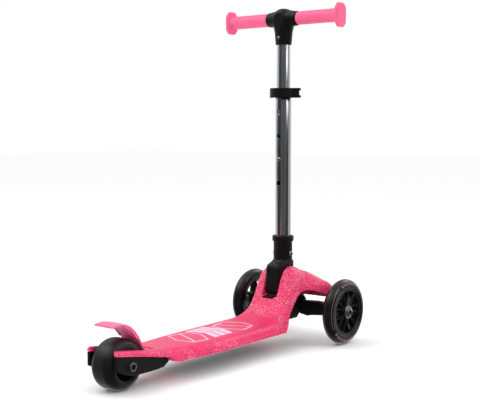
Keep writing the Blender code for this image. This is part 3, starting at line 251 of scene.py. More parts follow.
def zinc(name, colour, roughness):
    """Plated fastener: slightly cloudy, with rubbed bright edges."""
    shade = Shade(name, colour, roughness, metallic=1.0)
    cloud = shade.noise(260, 4)
    darker = tuple(c * 0.7 for c in colour) + (1.0,)
    tone = shade.mix(shade.spread(cloud, 0.35, 0.7), shade.base, darker)
    shade.set("Base Color", shade.mix(shade.edges(0.52, 0.58), tone, (0.9, 0.9, 0.9, 1.0)))
    shade.set("Roughness", shade.spread(cloud, 0.3, 0.7, roughness, roughness + 0.2))
    shade.set("Normal", shade.bump(cloud, 0.1, 0.0001))
    return shade.material


def cast_tyre(name, roughness):
    """Cast polyurethane: glossy, with faint flow marks and dust."""
    shade = Shade(name, (0.0050, 0.0046, 0.0060), roughness, specular=0.45)
    flow = shade.noise(45, 5)
    dust = shade.spread(shade.noise(600, 3), 0.62, 0.75, 0.0, 0.2)
    shade.set("Base Color", shade.mix(dust, shade.base, (0.05, 0.048, 0.05, 1.0)))
    shade.set("Roughness", shade.spread(flow, 0.3, 0.7, roughness - 0.06, roughness + 0.12))
    shade.set("Normal", shade.bump(flow, 0.08, 0.001))
    return shade.material


def printed(name, colour, roughness, metallic):
    """Pad-printed ink, thin and a little broken."""
    shade = Shade(name, colour, roughness, metallic=metallic)
    broken = shade.spread(shade.noise(900, 2), 0.55, 0.75, 0.0, 0.5)
    shade.set("Base Color", shade.mix(broken, shade.base, tuple(c * 0.35 for c in colour) + (1.0,)))
    shade.set("Normal", shade.bump(shade.noise(1200, 2), 0.15, 0.0001))
    return shade.material


PINK = speckled_pink()
# The edge colours given to the moulded plastics below are painted highlights along their outer edges.
BRAKE_PINK = moulded("pink_brake", (0.90, 0.12, 0.29), 0.34, edge_highlight=(0.98, 0.40, 0.56)).material
GRIP_PINK = moulded("pink_grip", (0.95, 0.120, 0.28), 0.48, grain=0.5, edge_highlight=(1.0, 0.4, 0.52)).material
BLACK = moulded("black_moulded", (0.0050, 0.0050, 0.0055), 0.44, 0.3, (0.014, 0.014, 0.015), 0.26).material
HUB_BLACK = moulded("black_hub", (0.0045, 0.0045, 0.005), 0.24, 0.1, (0.02, 0.02, 0.022), 0.45).material
RUBBER = moulded("black_bush", (0.008, 0.008, 0.009), 0.70, 0.5, specular=0.3).material
TYRE = cast_tyre("tyre_gloss", 0.24)
REAR_TYRE = cast_tyre("tyre_satin", 0.40)
CHROME = polished("chrome_tube", (0.78, 0.79, 0.82), 0.15, 0.05)
ZINC = zinc("zinc_plate", (0.62, 0.62, 0.64), 0.28)
BLACK_STEEL = zinc("black_steel", (0.045, 0.045, 0.048), 0.34)
INK = printed("pale_ink", (0.95, 0.56, 0.74), 0.45, 0.0)
COPPER = printed("copper_ink", (0.30, 0.17, 0.145), 0.40, 0.45)


# ---------------------------------------------------------------- mesh helpers
def new_object(name, mesh, matrix=Matrix.Identity(4)):
    obj = bpy.data.objects.new(name, mesh)
    bpy.context.scene.collection.objects.link(obj)
    obj.matrix_world = matrix
    return obj


def mesh_from(bm, name, sharp=40):
    bmesh.ops.recalc_face_normals(bm, faces=bm.faces)
    mesh = bpy.data.meshes.new(name)
    bm.to_mesh(mesh)
    bm.free()
    mesh.shade_smooth()
    mesh.set_sharp_from_angle(angle=math.radians(sharp))
    return mesh


def baked(obj, sharp=None):
    """The object with its modifiers made part of its mesh, and its place in its vertices."""
    bpy.context.view_layer.update()
    graph = bpy.context.evaluated_depsgraph_get()
    mesh = bpy.data.meshes.new_from_object(obj.evaluated_get(graph))
    mesh.transform(obj.matrix_world)
    obj.modifiers.clear()
    obj.data = mesh
    obj.matrix_world = Matrix.Identity(4)
    mesh.shade_smooth()
    if sharp:
        mesh.set_sharp_from_angle(angle=math.radians(sharp))
    return obj


def remove(*objects):
    for obj in objects:
        bpy.data.objects.remove(obj)


def dress(obj, material, *nodes, body=None):
    """Gives a piece its material and the body of the first CAD node it stands for."""
    obj.data.materials.clear()
    obj.data.materials.append(material)
    node = nodes[0]
    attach(obj, body or BODY_OF[node])
    return obj


def stand_for(obj, material, *nodes):
    dress(obj, material, *nodes)
    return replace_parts(obj, *nodes)


def welded_copy(node, name):
    """The CAD node's mesh as one welded surface."""
    bm = bmesh.new()
    bm.from_mesh(NODES[node].data)
    bmesh.ops.remove_doubles(bm, verts=bm.verts, dist=WELD)
    bmesh.ops.dissolve_limit(bm, angle_limit=math.radians(0.4), verts=bm.verts, edges=bm.edges)
    return new_object(name, mesh_from(bm, name))


def softened(node, material, voxel, rounds):
    """The CAD shape as it would leave a mould: every edge rounded and every facet run together."""
    piece = welded_copy(node, f"{node}_skin")
    remesh(piece, voxel, rounds)
    baked(piece)
    return stand_for(piece, material, node)


def remesh(piece, voxel, rounds):
    """One closed skin of voxel size, eased by some rounds of smoothing."""
    grid = piece.modifiers.new("Skin", "REMESH")
    grid.mode = "VOXEL"
    grid.voxel_size = voxel
    ease = piece.modifiers.new("Ease", "SMOOTH")
    ease.factor = 0.5
    ease.iterations = rounds


def machined(node, material, bevel=BROKEN_EDGE):
    """The CAD shape with its edges broken, as turned or pressed metal has them."""
    piece = welded_copy(node, f"{node}_skin")
    edge = piece.modifiers.new("Edge", "BEVEL")
    edge.width = bevel
    edge.segments = 2
    edge.limit_method = "ANGLE"
    edge.angle_limit = math.radians(EDGE_ANGLE)
    baked(piece, EDGE_ANGLE)
    return stand_for(piece, material, node)


def turned(name, profile, matrix, steps):
    """A closed (radius, height) profile turned about Z, then placed."""
    bm = bmesh.new()
    count = len(profile)
    rows = []
    for i in range(steps):
        angle = math.tau * i / steps
        c, s = math.cos(angle), math.sin(angle)
        rows.append([bm.verts.new((r * c, r * s, h)) for r, h in profile])
    for near, far in zip(rows, rows[1:] + rows[:1]):
        for i in range(count):
            j = (i + 1) % count
            bm.faces.new((near[i], near[j], far[j], far[i]))
    bmesh.ops.remove_doubles(bm, verts=bm.verts, dist=WELD / 4)
    return new_object(name, mesh_from(bm, name, 50), matrix)


def loft(name, rings):
    """A closed skin through rings of equally many points, capped at both ends."""
    bm = bmesh.new()
    rows = [[bm.verts.new(point) for point in ring] for ring in rings]
    count = len(rows[0])
    for near, far in zip(rows, rows[1:]):
        for i in range(count):
            j = (i + 1) % count
            bm.faces.new((near[i], near[j], far[j], far[i]))
    bm.faces.new(rows[0])
    bm.faces.new(rows[-1])
    return new_object(name, mesh_from(bm, name))


def block(name, low, high):
    low, high = Vector(low), Vector(high)
    bm = bmesh.new()
    matrix = Matrix.Translation((low + high) / 2) @ Matrix.Diagonal((*(high - low), 1))
    bmesh.ops.create_cube(bm, size=1, matrix=matrix)
    return new_object(name, mesh_from(bm, name))


def cylinder_x(name, half, y, z, radius, segments=64):
    bm = bmesh.new()
    matrix = Matrix.Translation((0, y, z)) @ X_AXIS
    bmesh.ops.create_cone(bm, cap_ends=True, segments=segments, radius1=radius, radius2=radius,
                          depth=2 * half, matrix=matrix)
    return new_object(name, mesh_from(bm, name))


def side_prism(name, outline, half):
    """A (y, z) outline carried from one side of the scooter to the other."""
    bm = bmesh.new()
    ends = [[bm.verts.new((x, y, z)) for y, z in outline] for x in (-half, half)]
    for i in range(len(outline)):
        j = (i + 1) % len(outline)
        bm.faces.new((ends[0][i], ends[0][j], ends[1][j], ends[1][i]))
    bm.faces.new(ends[0])
    bm.faces.new(ends[1])
    return new_object(name, mesh_from(bm, name))


def boolean(target, tool, operation="DIFFERENCE"):
    change = target.modifiers.new(tool.name, "BOOLEAN")
    change.operation = operation
    change.object = tool


def smooth_rows(rows, parts):
    """Rows of numbers joined by a smooth curve through each column, the first being the place along it."""
    def slope(i, k):
        a, b = max(i - 1, 0), min(i + 1, len(rows) - 1)
        return (rows[b][k] - rows[a][k]) / (rows[b][0] - rows[a][0])

    made = []
    for i in range(len(rows) - 1):
        here, there = rows[i], rows[i + 1]
        span = there[0] - here[0]
        for step in range(parts):
            t = step / parts
            h = (2 * t**3 - 3 * t**2 + 1, t**3 - 2 * t**2 + t, 3 * t**2 - 2 * t**3, t**3 - t**2)
            row = [here[0] + span * t]
            for k in range(1, len(here)):
                row.append(h[0] * here[k] + h[1] * span * slope(i, k)
                           + h[2] * there[k] + h[3] * span * slope(i + 1, k))
            made.append(row)
    return made + [list(rows[-1])]


def bezier(start, control, end, count):
    found = []
    for i in range(count + 1):
        t = i / count
        a, b, c = (1 - t) ** 2, 2 * t * (1 - t), t * t
        found.append(tuple(a * s + b * m + c * e for s, m, e in zip(start, control, end)))
    return found


# ---------------------------------------------------------------- the pink moulding
def deck_stations():
    """(y, half width, underside, shoulder half width, shoulder height, centre height)."""
    w, top, low = DECK_HALF, DECK_TOP, DECK_BOTTOM
    tail = REAR_Y + REAR_R
    inner = FORK_OUTER
    s, f = STEM_Y, FRONT_Z
    return [
        (REAR_Y - 0.032, inner + 0.002, REAR_Z + 0.0210, inner - 0.001, REAR_Z + 0.0285, REAR_Z + 0.0300),
        (REAR_Y, inner + 0.003, REAR_Z + 0.0155, inner, REAR_Z + 0.0240, REAR_Z + 0.0260),
        (tail - 0.004, inner + 0.0055, REAR_Z + 0.0090, inner + 0.002, REAR_Z + 0.0175, REAR_Z + 0.0195),
        (tail + 0.020, w - 0.018, REAR_Z + 0.0045, w - 0.023, top + 0.0010, top + 0.0035),
        (tail + 0.036, w - 0.0145, REAR_Z + 0.0020, w - 0.021, top - 0.0005, top + 0.0020),
        (tail + 0.044, w - 0.0130, low + 0.0005, w - 0.020, top - 0.0010, top + 0.0015),
        (tail + 0.068, w - 0.008, low, w - 0.0165, top - 0.0015, top + 0.0005),
        (tail + 0.110, w - 0.002, low, w - 0.011, top - 0.0020, top),
        (tail + 0.160, w, low, w - 0.009, top - 0.0020, top),
        (s - 0.130, w, low, w - 0.009, top - 0.0015, top + 0.0005),
        (s - 0.086, w, low, w - 0.011, top - 0.0005, top + 0.0030),
        (s - 0.070, w, low, w - 0.014, top + 0.0030, top + 0.0100),
        (s - 0.0585, w - 0.002, low, w - 0.019, f + 0.0040, f + 0.0120),
        (s - 0.0490, w - 0.004, low, w - 0.0225, f + 0.0170, f + 0.0245),
        (s - 0.0400, w - 0.006, low, w - 0.0225, f + 0.0310, f + 0.0410),
        (s - 0.0320, w - 0.006, low, w - 0.0210, f + 0.0415, f + 0.0620),
        (s - 0.0225, w - 0.004, low, w - 0.0170, f + 0.0490, f + 0.0775),
        (s - 0.0115, w - 0.002, low, w - 0.0130, f + 0.0535, f + 0.0830),
        (s + 0.0030, w - 0.002, low, w - 0.0110, f + 0.0540, f + 0.0830),
        (s + 0.0160, w - 0.004, low, w - 0.0130, f + 0.0520, f + 0.0790),
        (s + 0.0300, w - 0.010, low, w - 0.0180, f + 0.0480, f + 0.0710),
        (s + 0.0460, w - 0.018, low, w - 0.0240, f + 0.0420, f + 0.0600),
        (s + 0.0580, w - 0.026, low, w - 0.0300, f + 0.0340, f + 0.0460),
    ]


def deck_section(station, inset=0.0, floor=None):
    """One closed ring across the deck; with a floor, the ring of the hollow under it."""
    y, width, low, shoulder, shoulder_z, centre_z = station
    width, shoulder = width - inset, shoulder - inset
    shoulder_z, centre_z = shoulder_z - inset, centre_z - inset
    foot = [(width, low)] if floor is None else [(width, floor), (width, low + COVER_SEAT)]
    crown = 3.2

    def top(x):
        return shoulder_z + (centre_z - shoulder_z) * (1 - (x / shoulder) ** crown)

    side = (width + 0.55 * (shoulder - width), low + 0.55 * (shoulder_z - low))
    edge = 0.78 * shoulder
    half = foot + [((width + side[0]) / 2, (foot[-1][1] + side[1]) / 2)]
    half += bezier(side, (shoulder, shoulder_z), (edge, top(edge)), 8)
    half += [(edge * f, top(edge * f)) for f in (0.88, 0.75, 0.6, 0.45, 0.3, 0.15)]
    ring = half + [(0.0, centre_z)] + [(-x, z) for x, z in reversed(half)]
    return [(x, y, z) for x, z in ring]


def wing_stations():
    """(x, rear y, crease height, apex y, apex height, front y, front height), y from the stem's axis."""
    return [
        (0.0, -0.0025, 0.054, 0.0245, 0.0730, 0.0745, 0.0240),
        (WING_REACH * 0.30, -0.0025, 0.054, 0.0245, 0.0715, 0.0735, 0.0240),
        (WING_REACH * 0.60, 0.0005, 0.0520, 0.0260, 0.0635, 0.0700, 0.0240),
        (WING_REACH * 0.77, 0.0150, 0.0490, 0.0330, 0.0575, 0.0670, 0.0245),
        (WING_REACH * 0.90, 0.0280, 0.0455, 0.0420, 0.0515, 0.0640, 0.0255),
        (WING_REACH, 0.0390, 0.0370, 0.0490, 0.0400, 0.0600, 0.0290),
    ]


def wing_section(station, inset, floor):
    """One closed ring along the wing, from its rear foot over its top to its front foot."""
    x, rear, crease, apex, apex_z, front, front_z = station
    rear, front = rear + inset, front - inset
    crease, apex_z, front_z = crease - inset, apex_z - inset, front_z - inset
    points = [(rear, floor), (rear, crease - 0.003)]
    depth = apex - rear
    points += bezier((rear + 0.07 * depth, crease), (rear + 0.3 * depth, apex_z), (apex, apex_z), 8)
    points += bezier((apex, apex_z), (front - 0.004, apex_z - 0.004), (front, front_z), 10)[1:]
    points.append((front, floor))
    return [(x, STEM_Y + y, FRONT_Z + z) for y, z in points]


def wings(name, inset=0.0, floor=0.004):
    right = smooth_rows(wing_stations(), 4)
    if inset:
        right[-1][0] -= inset
    both = [[-row[0], *row[1:]] for row in reversed(right[1:])] + right
    return loft(name, [wing_section(row, inset, floor) for row in both])


def arch_outline():
    """The side opening over the axle: up the neck, along the wing's rim and down its nose."""
    s, z = STEM_Y, FRONT_Z
    rim = [
        (-0.0665, DECK_BOTTOM + 0.0015), (-0.0570, z - 0.0205), (-0.0480, z - 0.0120), (-0.0385, z + 0.0015),
        (-0.0290, z + 0.0135), (-0.0220, z + 0.0245), (-0.0140, z + 0.0330), (-0.0050, z + 0.0375),
        (0.0050, z + 0.0390), (0.0125, z + 0.0385), (0.0245, z + 0.0345), (0.0495, z + 0.0240),
        (0.0900, z + 0.0120),
    ]
    floor = DECK_BOTTOM - 0.010
    curve = smooth_rows(rim, 5)
    return [(s - 0.0680, floor)] + [(s + y, h) for y, h in curve] + [(s + 0.090, floor)]


def hollow_tools(floor):
    """The hollow under the deck and the wings, which leaves a solid core about the slot."""
    rows = smooth_rows(deck_stations()[6:], 3)
    hollow = loft("hollow_tool", [deck_section(row, SHELL_WALL, floor) for row in rows])
    wing_hollow = wings("wing_hollow_tool", SHELL_WALL, -0.020)
    low, high = (-CORE_HALF, CORE_REAR, floor - 0.01), (CORE_HALF, STEM_Y + 0.090, TOOL_TOP)
    core_tool = block("core_tool", low, high)
    boolean(hollow, wing_hollow, "UNION")
    boolean(hollow, core_tool)
    return hollow, wing_hollow, core_tool


def arch_tools():
    """The side openings, kept clear of the core about the slot."""
    half = CORE_HALF - 0.0002
    arch = side_prism("arch_tool", arch_outline(), 0.12)
    low, high = (-half, CORE_REAR, 0), (half, SLOT_FRONT + SHELL_WALL, TOOL_TOP)
    keep = block("arch_core_tool", low, high)
    boolean(arch, keep)
    return arch, keep


def pocket_tool():
    """Room for the steering housing."""
    nose = STEM_Y + 0.0745 - SHELL_WALL
    rear, front, foot = STEM_Y - 0.0585, SLOT_FRONT + SHELL_WALL, 0.020
    ceiling, high = HOUSING_TOP + GAP, HOUSING_TOP + 0.011
    return side_prism("pocket_tool", [
        (rear, foot), (rear, FRONT_Z + 0.0025), (STEM_Y - 0.0410, ceiling), (front, ceiling),
        (front, high), (nose - 0.003, high), (nose, HOUSING_TOP + 0.003), (nose, foot),
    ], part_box("steering_housing")[1].x + 0.001)


def stem_tools():
    """The stem's slot and the channel in its floor that the fold release slides in."""
    rear = STEM_Y - 0.090
    slot = block("slot_tool", (-SLOT_HALF, rear, SLOT_FLOOR), (SLOT_HALF, SLOT_FRONT, TOOL_TOP))
    low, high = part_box("fold_release")
    start = (low.x - GAP, rear, SLOT_FLOOR - 0.0027)
    latch = block("latch_tool", start, (high.x + GAP, high.y + 0.003, SLOT_FLOOR + 0.002))
    return slot, latch


def tail_tools():
    """Room for the rear wheel and for the brake's root."""
    half = FORK_INNER - 0.0005
    well = cylinder_x("well_tool", half, REAR_Y, REAR_Z, REAR_R + 0.0055)
    low, high = (-half, REAR_Y - 0.060, REAR_Z - 0.030), (half, REAR_Y + REAR_R + 0.0005, REAR_Z + 0.080)
    above = block("above_tool", low, high)
    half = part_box("brake_fender")[1].x + 0.0015
    low, high = (-half, REAR_Y + REAR_R, BRAKE_Z - 0.0065), (half, BRAKE_Y + 0.0085, BRAKE_Z + 0.060)
    return well, above, block("recess_tool", low, high)


def pink_moulding():
    """Deck, neck, lobes and wings as one smooth moulding, cut for the stem, wheel, brake and housing."""
    rows = smooth_rows(deck_stations(), 4)
    shell = loft("deck_skin", [deck_section(row) for row in rows])
    wing = wings("wing_tool")
    hollow, *hollow_parts = hollow_tools(DECK_BOTTOM - 0.008)
    arch, keep = arch_tools()
    pocket = pocket_tool()
    slot, latch = stem_tools()
    tail = tail_tools()
    pin_hole = cylinder_x("pin_hole_tool", 0.030, PIVOT_Y, PIVOT_Z, PIN_R + 0.0006, 24)
    brake_hole = cylinder_x("brake_hole_tool", 0.0295, BRAKE_Y, BRAKE_Z, 0.0025, 24)
    tools = (pin_hole, brake_hole, *tail, arch, hollow, pocket, slot, latch)
    boolean(shell, wing, "UNION")
    for tool in tools:
        boolean(shell, tool)
    voxel = 0.0013
    remesh(shell, voxel, 5)
    baked(shell)
    remove(wing, keep, *hollow_parts, *tools)
    return stand_for(shell, PINK, "deck_body")


# ---------------------------------------------------------------- printed patterns
def patch_grid(corners, rows, columns):
    """A grid of plan points between four corners."""
    a, b, c, d = (Vector(p) for p in corners)
    return [[a.lerp(b, u / columns).lerp(d.lerp(c, u / columns), v / rows) for u in range(columns + 1)]
            for v in range(rows + 1)]


def inlays(name, grids, place):
    """Thin closed slabs that follow a surface: place(point, height) gives a point over it."""
    bm = bmesh.new()
    for grid in grids:
        layers = [
            [[bm.verts.new(place(p, h)) for p in row] for row in grid] for h in (PRINT_OVER, PRINT_UNDER)
        ]
        rows, columns = len(grid) - 1, len(grid[0]) - 1
        for layer in layers:
            for v in range(rows):
                for u in range(columns):
                    bm.faces.new((layer[v][u], layer[v][u + 1], layer[v + 1][u + 1], layer[v + 1][u]))
        upper, lower = layers
        rim = [(0, u) for u in range(columns)] + [(v, columns) for v in range(rows)]
        rim += [(rows, u) for u in range(columns, 0, -1)] + [(v, 0) for v in range(rows, 0, -1)]
        for here, there in zip(rim, rim[1:] + rim[:1]):
            bm.faces.new((upper[here[0]][here[1]], upper[there[0]][there[1]],
                          lower[there[0]][there[1]], lower[here[0]][here[1]]))
    return new_object(name, mesh_from(bm, name, 30))


def outline_grids(points, width):
    """Bands along a closed outline, mitred at its corners."""
    centre = sum((Vector(p) for p in points), Vector((0, 0))) / len(points)
    count = len(points)
    inner = []
    for i, point in enumerate(points):
        before, after = Vector(points[i - 1]), Vector(points[(i + 1) % count])
        here = Vector(point)
        a, b = (here - before).normalized(), (after - here).normalized()
        normal = Vector((-a.y - b.y, a.x + b.x)).normalized()
        if normal.dot(centre - here) < 0:
            normal = -normal
        lean = max(0.4, abs(normal.dot(Vector((-a.y, a.x)))))
        inner.append(here + normal * width / lean)
    grids = []
    for i in range(count):
        j = (i + 1) % count
        corners = (points[i], points[j], inner[j], inner[i])
        steps = max(2, int((Vector(points[j]) - Vector(points[i])).length / 0.004))
        grids.append(patch_grid(corners, 1, steps))
    return grids


def deck_pattern(skin):
    """Our own plain figure on the tread: two outlined cells with a bar, and stacked chevrons between."""
    def on_deck(point, height):
        hit, spot, normal, _ = skin.ray_cast(Vector((point.x, point.y, TOOL_TOP)), Vector((0, 0, -1)))
        return spot + normal * height if hit else Vector((point.x, point.y, DECK_TOP))

    middle_y = (REAR_Y + REAR_R + STEM_Y) / 2 - 0.014
    line = 0.0024
    grids = []
    for side in (-1, 1):
        near, far = middle_y + side * 0.031, middle_y + side * 0.088
        lean = side * 0.016
        cell = [(-0.024, near), (0.004, near - lean * 0.2), (0.036, near + lean),
                (0.030, far - lean * 0.5), (0.0, far), (-0.034, far - lean)]
        grids += outline_grids(cell, line)
        start, end = (-0.030, near + lean * 0.9), (0.032, far - lean * 0.9)
        back = [(x - 0.001, y - line) for x, y in (end, start)]
        grids.append(patch_grid((start, end, *back), 1, 18))
    for i in range(3):
        y = middle_y + (i - 1) * 0.0165
        for side in (-1, 1):
            tip, wide = 0.0007 * side, 0.034 * side
            corners = (tip, y - 0.0010), (wide, y - 0.0120), (wide, y + 0.0010), (tip, y + 0.0125)
            grids.append(patch_grid(corners, 4, 8))
    marks = inlays("deck_pattern", grids, on_deck)
    return dress(marks, INK, "deck_body")


# ---------------------------------------------------------------- wheels
def tyre_profile(radius, half, inner, crown, steps=10):
    """A tyre rounded off by the crown radius, with a fine step where it meets the rim."""
    angles = [math.radians(90 * i / steps) for i in range(steps + 1)]
    arc = [(radius - crown + crown * math.cos(a), half - crown + crown * math.sin(a)) for a in angles]
    seat = [(0.0, 0.0012), (0.0010, 0.0004), (0.0016, 0.0006), (0.0022, 0.0)]
    side = [(inner + out, half - deep) for out, deep in seat]
    return side + arc[::-1] + [(r, -h) for r, h in arc] + [(r, -h) for r, h in reversed(side)]


def wheel_place(node):
    return Matrix.Translation(middle(node)) @ X_AXIS


def tyre_print(label, side):
    """Plain dashes and thin arcs round the shoulder of a front tyre."""
    centre = middle(f"{label}_tyre")
    ring = FRONT_R - FRONT_CROWN
    flat = FRONT_WIDTH / 2 - FRONT_CROWN

    def on_tyre(point, height):
        angle, radius = point
        rise = max(0.0, radius - ring)
        lift = math.sqrt(max(0.0, FRONT_CROWN**2 - rise**2))
        normal = Vector((lift, rise * math.cos(angle), rise * math.sin(angle))).normalized()
        spot = Vector((flat + lift, radius * math.cos(angle), radius * math.sin(angle))) + normal * height
        return centre + Vector((spot.x * side, spot.y, spot.z))

    def band(begin, end, low, high):
        steps = max(2, round((end - begin) / 0.04))
        return patch_grid(((begin, low), (end, low), (end, high), (begin, high)), 2, steps)

    grids = []
    for start in (math.radians(40), math.radians(220)):
        for i in range(9):
            begin = start + i * 0.15
            grids.append(band(begin, begin + 0.095, 0.0505, 0.0545))
        for low in (0.0500, 0.0544):
            grids.append(band(start + 1.45, start + 2.95, low, low + 0.0006))
    marks = inlays(f"{label}_tyre_marks", grids, on_tyre)
    return dress(marks, COPPER, f"{label}_tyre")


def spoke(bm, start, sweep, inner, outer):
    """One thin swept rib of the hub, deeper at the boss than at the rim."""
    steps = 10
    outline = ((-1, -1), (1, -1), (1, 0.75), (0.55, 1), (-0.55, 1), (-1, 0.75))
    rows = []
    for i in range(steps + 1):
        t = i / steps
        radius = inner + (outer - inner) * t
        angle = start + sweep * t**1.6
        wide = 0.00115 + 0.0005 * abs(t - 0.45)
        depth = 0.0085 - 0.0030 * t
        c, s = math.cos(angle), math.sin(angle)
        across = Vector((-s, c))
        row = []
        for u, v in outline:
            flat = Vector((radius * c, radius * s)) + across * wide * u
            row.append(bm.verts.new((flat.x, flat.y, depth * v)))
        rows.append(row)
    count = len(outline)
    for near, far in zip(rows, rows[1:]):
        for i in range(count):
            j = (i + 1) % count
            bm.faces.new((near[i], near[j], far[j], far[i]))
    bm.faces.new(rows[0])
    bm.faces.new(rows[-1])


def hub_rim(name, edge, place):
    """The hub's outer ring, with a bead at each edge and a shallow waist."""
    half = [(0.0012, edge + 0.0004), (0.0026, edge), (0.0034, edge - 0.002)]
    lower = [(HUB_RIM_R - inward, -h) for inward, h in half]
    upper = [(HUB_RIM_R - inward, h) for inward, h in reversed(half)]
    profile = [(HUB_RIM_R, edge), (HUB_RIM_R, -edge), *lower, (HUB_RIM_R - 0.0028, 0.0), *upper]
    return turned(name, profile, place, 96)


def hub_boss(name, half, place):
    """The hub's middle, waisted out between its ends, with a seat for a bearing in each."""
    seat = half - BEARING_SEAT
    upper = [(0.0062, seat), (BEARING_R, seat), (BEARING_R, half), (0.0128, half), (0.0140, half - 0.0010),
             (0.0146, half - 0.004)]
    profile = upper + [(0.0158, 0.0)] + [(r, -h) for r, h in reversed(upper)]
    return turned(name, profile, place, 64)


def hub_spokes(name, lean, place):
    """Six pairs of swept ribs."""
    bm = bmesh.new()
    pairs = 6
    inner, outer = 0.0135, HUB_RIM_R - 0.0025
    for i in range(pairs):
        start = math.tau * i / pairs
        spoke(bm, start - 0.13, -0.10 * lean, inner, outer)
        spoke(bm, start + 0.13, 0.24 * lean, inner, outer)
    return new_object(name, mesh_from(bm, name), place)


def front_wheel(label, side):
    place = wheel_place(f"{label}_tyre")
    half = FRONT_WIDTH / 2
    profile = tyre_profile(FRONT_R, half, HUB_RIM_R + GAP, FRONT_CROWN)
    tyre = turned(f"{label}_tyre_skin", profile, place, 128)
    stand_for(baked(tyre, 50), TYRE, f"{label}_tyre")
    tyre_print(label, side)
    hub = hub_rim(f"{label}_hub_skin", half - 0.0015, place)
    boss = hub_boss(f"{label}_boss_tool", size(f"{label}_hub").x / 2 - 0.001, place)
    spokes = hub_spokes(f"{label}_spokes_tool", side, place)
    bpy.context.view_layer.update()
    whole = bmesh.new()
    for piece in (hub, boss, spokes):
        piece.data.transform(piece.matrix_world)
        whole.from_mesh(piece.data)
    hub.matrix_world = Matrix.Identity(4)
    hub.data = mesh_from(whole, f"{label}_hub_skin", 35)
    remove(boss, spokes)
    remesh(hub, 0.00055, 3)
    baked(hub)
    stand_for(hub, HUB_BLACK, f"{label}_hub")


def bearing(node):
    """Two races with a recessed dark shield between them."""
    place = wheel_place(node)
    half = size(node).x / 2
    outer = size(node).z / 2
    race, edge, deep = 0.0060, 0.0003, 0.0012
    upper = [
        (BEARING_BORE_R, half - edge), (BEARING_BORE_R + edge, half), (race, half),
        (race + 0.0003, half - 0.0004), (race + 0.0004, half - deep), (outer - 0.0016, half - deep),
        (outer - 0.0015, half - 0.0004), (outer - 0.0012, half), (outer - edge, half), (outer, half - edge),
    ]
    profile = upper + [(r, -h) for r, h in reversed(upper)]
    stand_for(baked(turned(f"{node}_skin", profile, place, 64), 30), ZINC, node)
    for side, label in ((-1, "left"), (1, "right")):
        face, back = side * (half - 0.0007), side * (half - deep)
        profile = [
            (race + 0.0006, back), (race + 0.0006, face), (race + 0.0022, face - side * 0.0002),
            (outer - 0.0019, face), (outer - 0.0019, back),
        ]
        shield = turned(f"{node}_shield_{label}", profile, place, 48)
        dress(baked(shield, 30), RUBBER, node)


def rear_wheel():
    rim = size("rear_hub").z / 2
    profile = tyre_profile(REAR_R, REAR_WIDTH / 2, rim + GAP, REAR_CROWN, 12)
    tyre = turned("rear_tyre_skin", profile, wheel_place("rear_tyre"), 128)
    stand_for(baked(tyre, 50), REAR_TYRE, "rear_tyre")
    softened("rear_hub", HUB_BLACK, 0.0008, 2)


# ---------------------------------------------------------------- small pieces
def coil(node, turns):
    """A compression spring in the place of its plain CAD rod, along Y."""
    low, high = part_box(node)
    wire = SPRING_WIRE
    radius = (high.z - low.z) / 2 - wire
    x, z = (low.x + high.x) / 2, (low.z + high.z) / 2
    count = turns * 14
    curve = bpy.data.curves.new(f"{node}_wire", "CURVE")
    curve.dimensions = "3D"
    curve.bevel_depth = wire
    curve.bevel_resolution = 3
    curve.use_fill_caps = True
    spline = curve.splines.new("POLY")
    spline.points.add(count)
    for i, point in enumerate(spline.points):
        angle = math.tau * turns * i / count
        y = low.y + wire + (high.y - low.y - 2 * wire) * i / count
        point.co = (x + radius * math.cos(angle), y, z + radius * math.sin(angle), 1)
    guide = bpy.data.objects.new(f"{node}_guide", curve)
    bpy.context.scene.collection.objects.link(guide)
    bpy.context.view_layer.update()
    graph = bpy.context.evaluated_depsgraph_get()
    mesh = bpy.data.meshes.new_from_object(guide.evaluated_get(graph))
    remove(guide)
    mesh.shade_smooth()
    return stand_for(new_object(f"{node}_coil", mesh), ZINC, node)


def plain_pieces():
    """Every other node: rounded where it is moulded, edges broken where it is metal."""
    coarsest = 0.0
    mouldings = {
        "t_bar": (0.0008, 14), "fold_knuckle": (0.0008, 6), "clamp_collar": (0.0006, 4),
        "clamp_lever": (0.0006, 5), "axle_beam": (0.0011, 5), "steering_housing": (0.0011, 3),
        "rear_bracket": (0.0010, 4), "fold_release": (0.0006, 3),
    }
    for node, (voxel, rounds) in mouldings.items():
        softened(node, BLACK, max(voxel, coarsest), rounds)
    softened("brake_fender", BRAKE_PINK, max(0.0008, coarsest), 6)
    for label in ("left", "right"):
        softened(f"grip_{label}", GRIP_PINK, max(0.0008, coarsest), 5)
    machined("underside_cover", BLACK, 0.0004)
    for node in ("lower_tube", "upper_tube"):
        machined(node, CHROME)
    for node in ("steering_bush_lower", "steering_bush_upper"):
        machined(node, RUBBER, 0.0004)
    dark = ["front_axle_bolt_left", "front_axle_bolt_right", "rear_axle_bolt", "rear_axle_nut", "cross_bolt",
            "cross_nut", "kingpin_bolt", "kingpin_nut"]
    bright = ["handlebar_tube", "fold_pin", "brake_pin", "clamp_bolt", "clamp_nut", "clamp_lever_pin",
              "t_bar_screw", "snap_button", "rear_washer_left", "rear_washer_right"]
    bright += [f"cover_screw_{i}" for i in range(1, 5)]
    bright += [f"{wheel}_bearing_spacer" for wheel in ("front_left", "front_right", "rear")]
    for node in dark:
        machined(node, BLACK_STEEL)
    for node in bright:
        machined(node, ZINC)


# ---------------------------------------------------------------- floor, light and camera
VIEW_FROM = Vector((1.0486, -1.2670, 0.4070))
VIEW_AT = Vector((0.0350, 0.0093, 0.2764))
VIEW_TURN = math.atan2(VIEW_FROM.x - VIEW_AT.x, VIEW_AT.y - VIEW_FROM.y)
LENS = 72.4
SENSOR = 36
FLOOR_DROP = 0.0002
FLOOR_REACH = 9


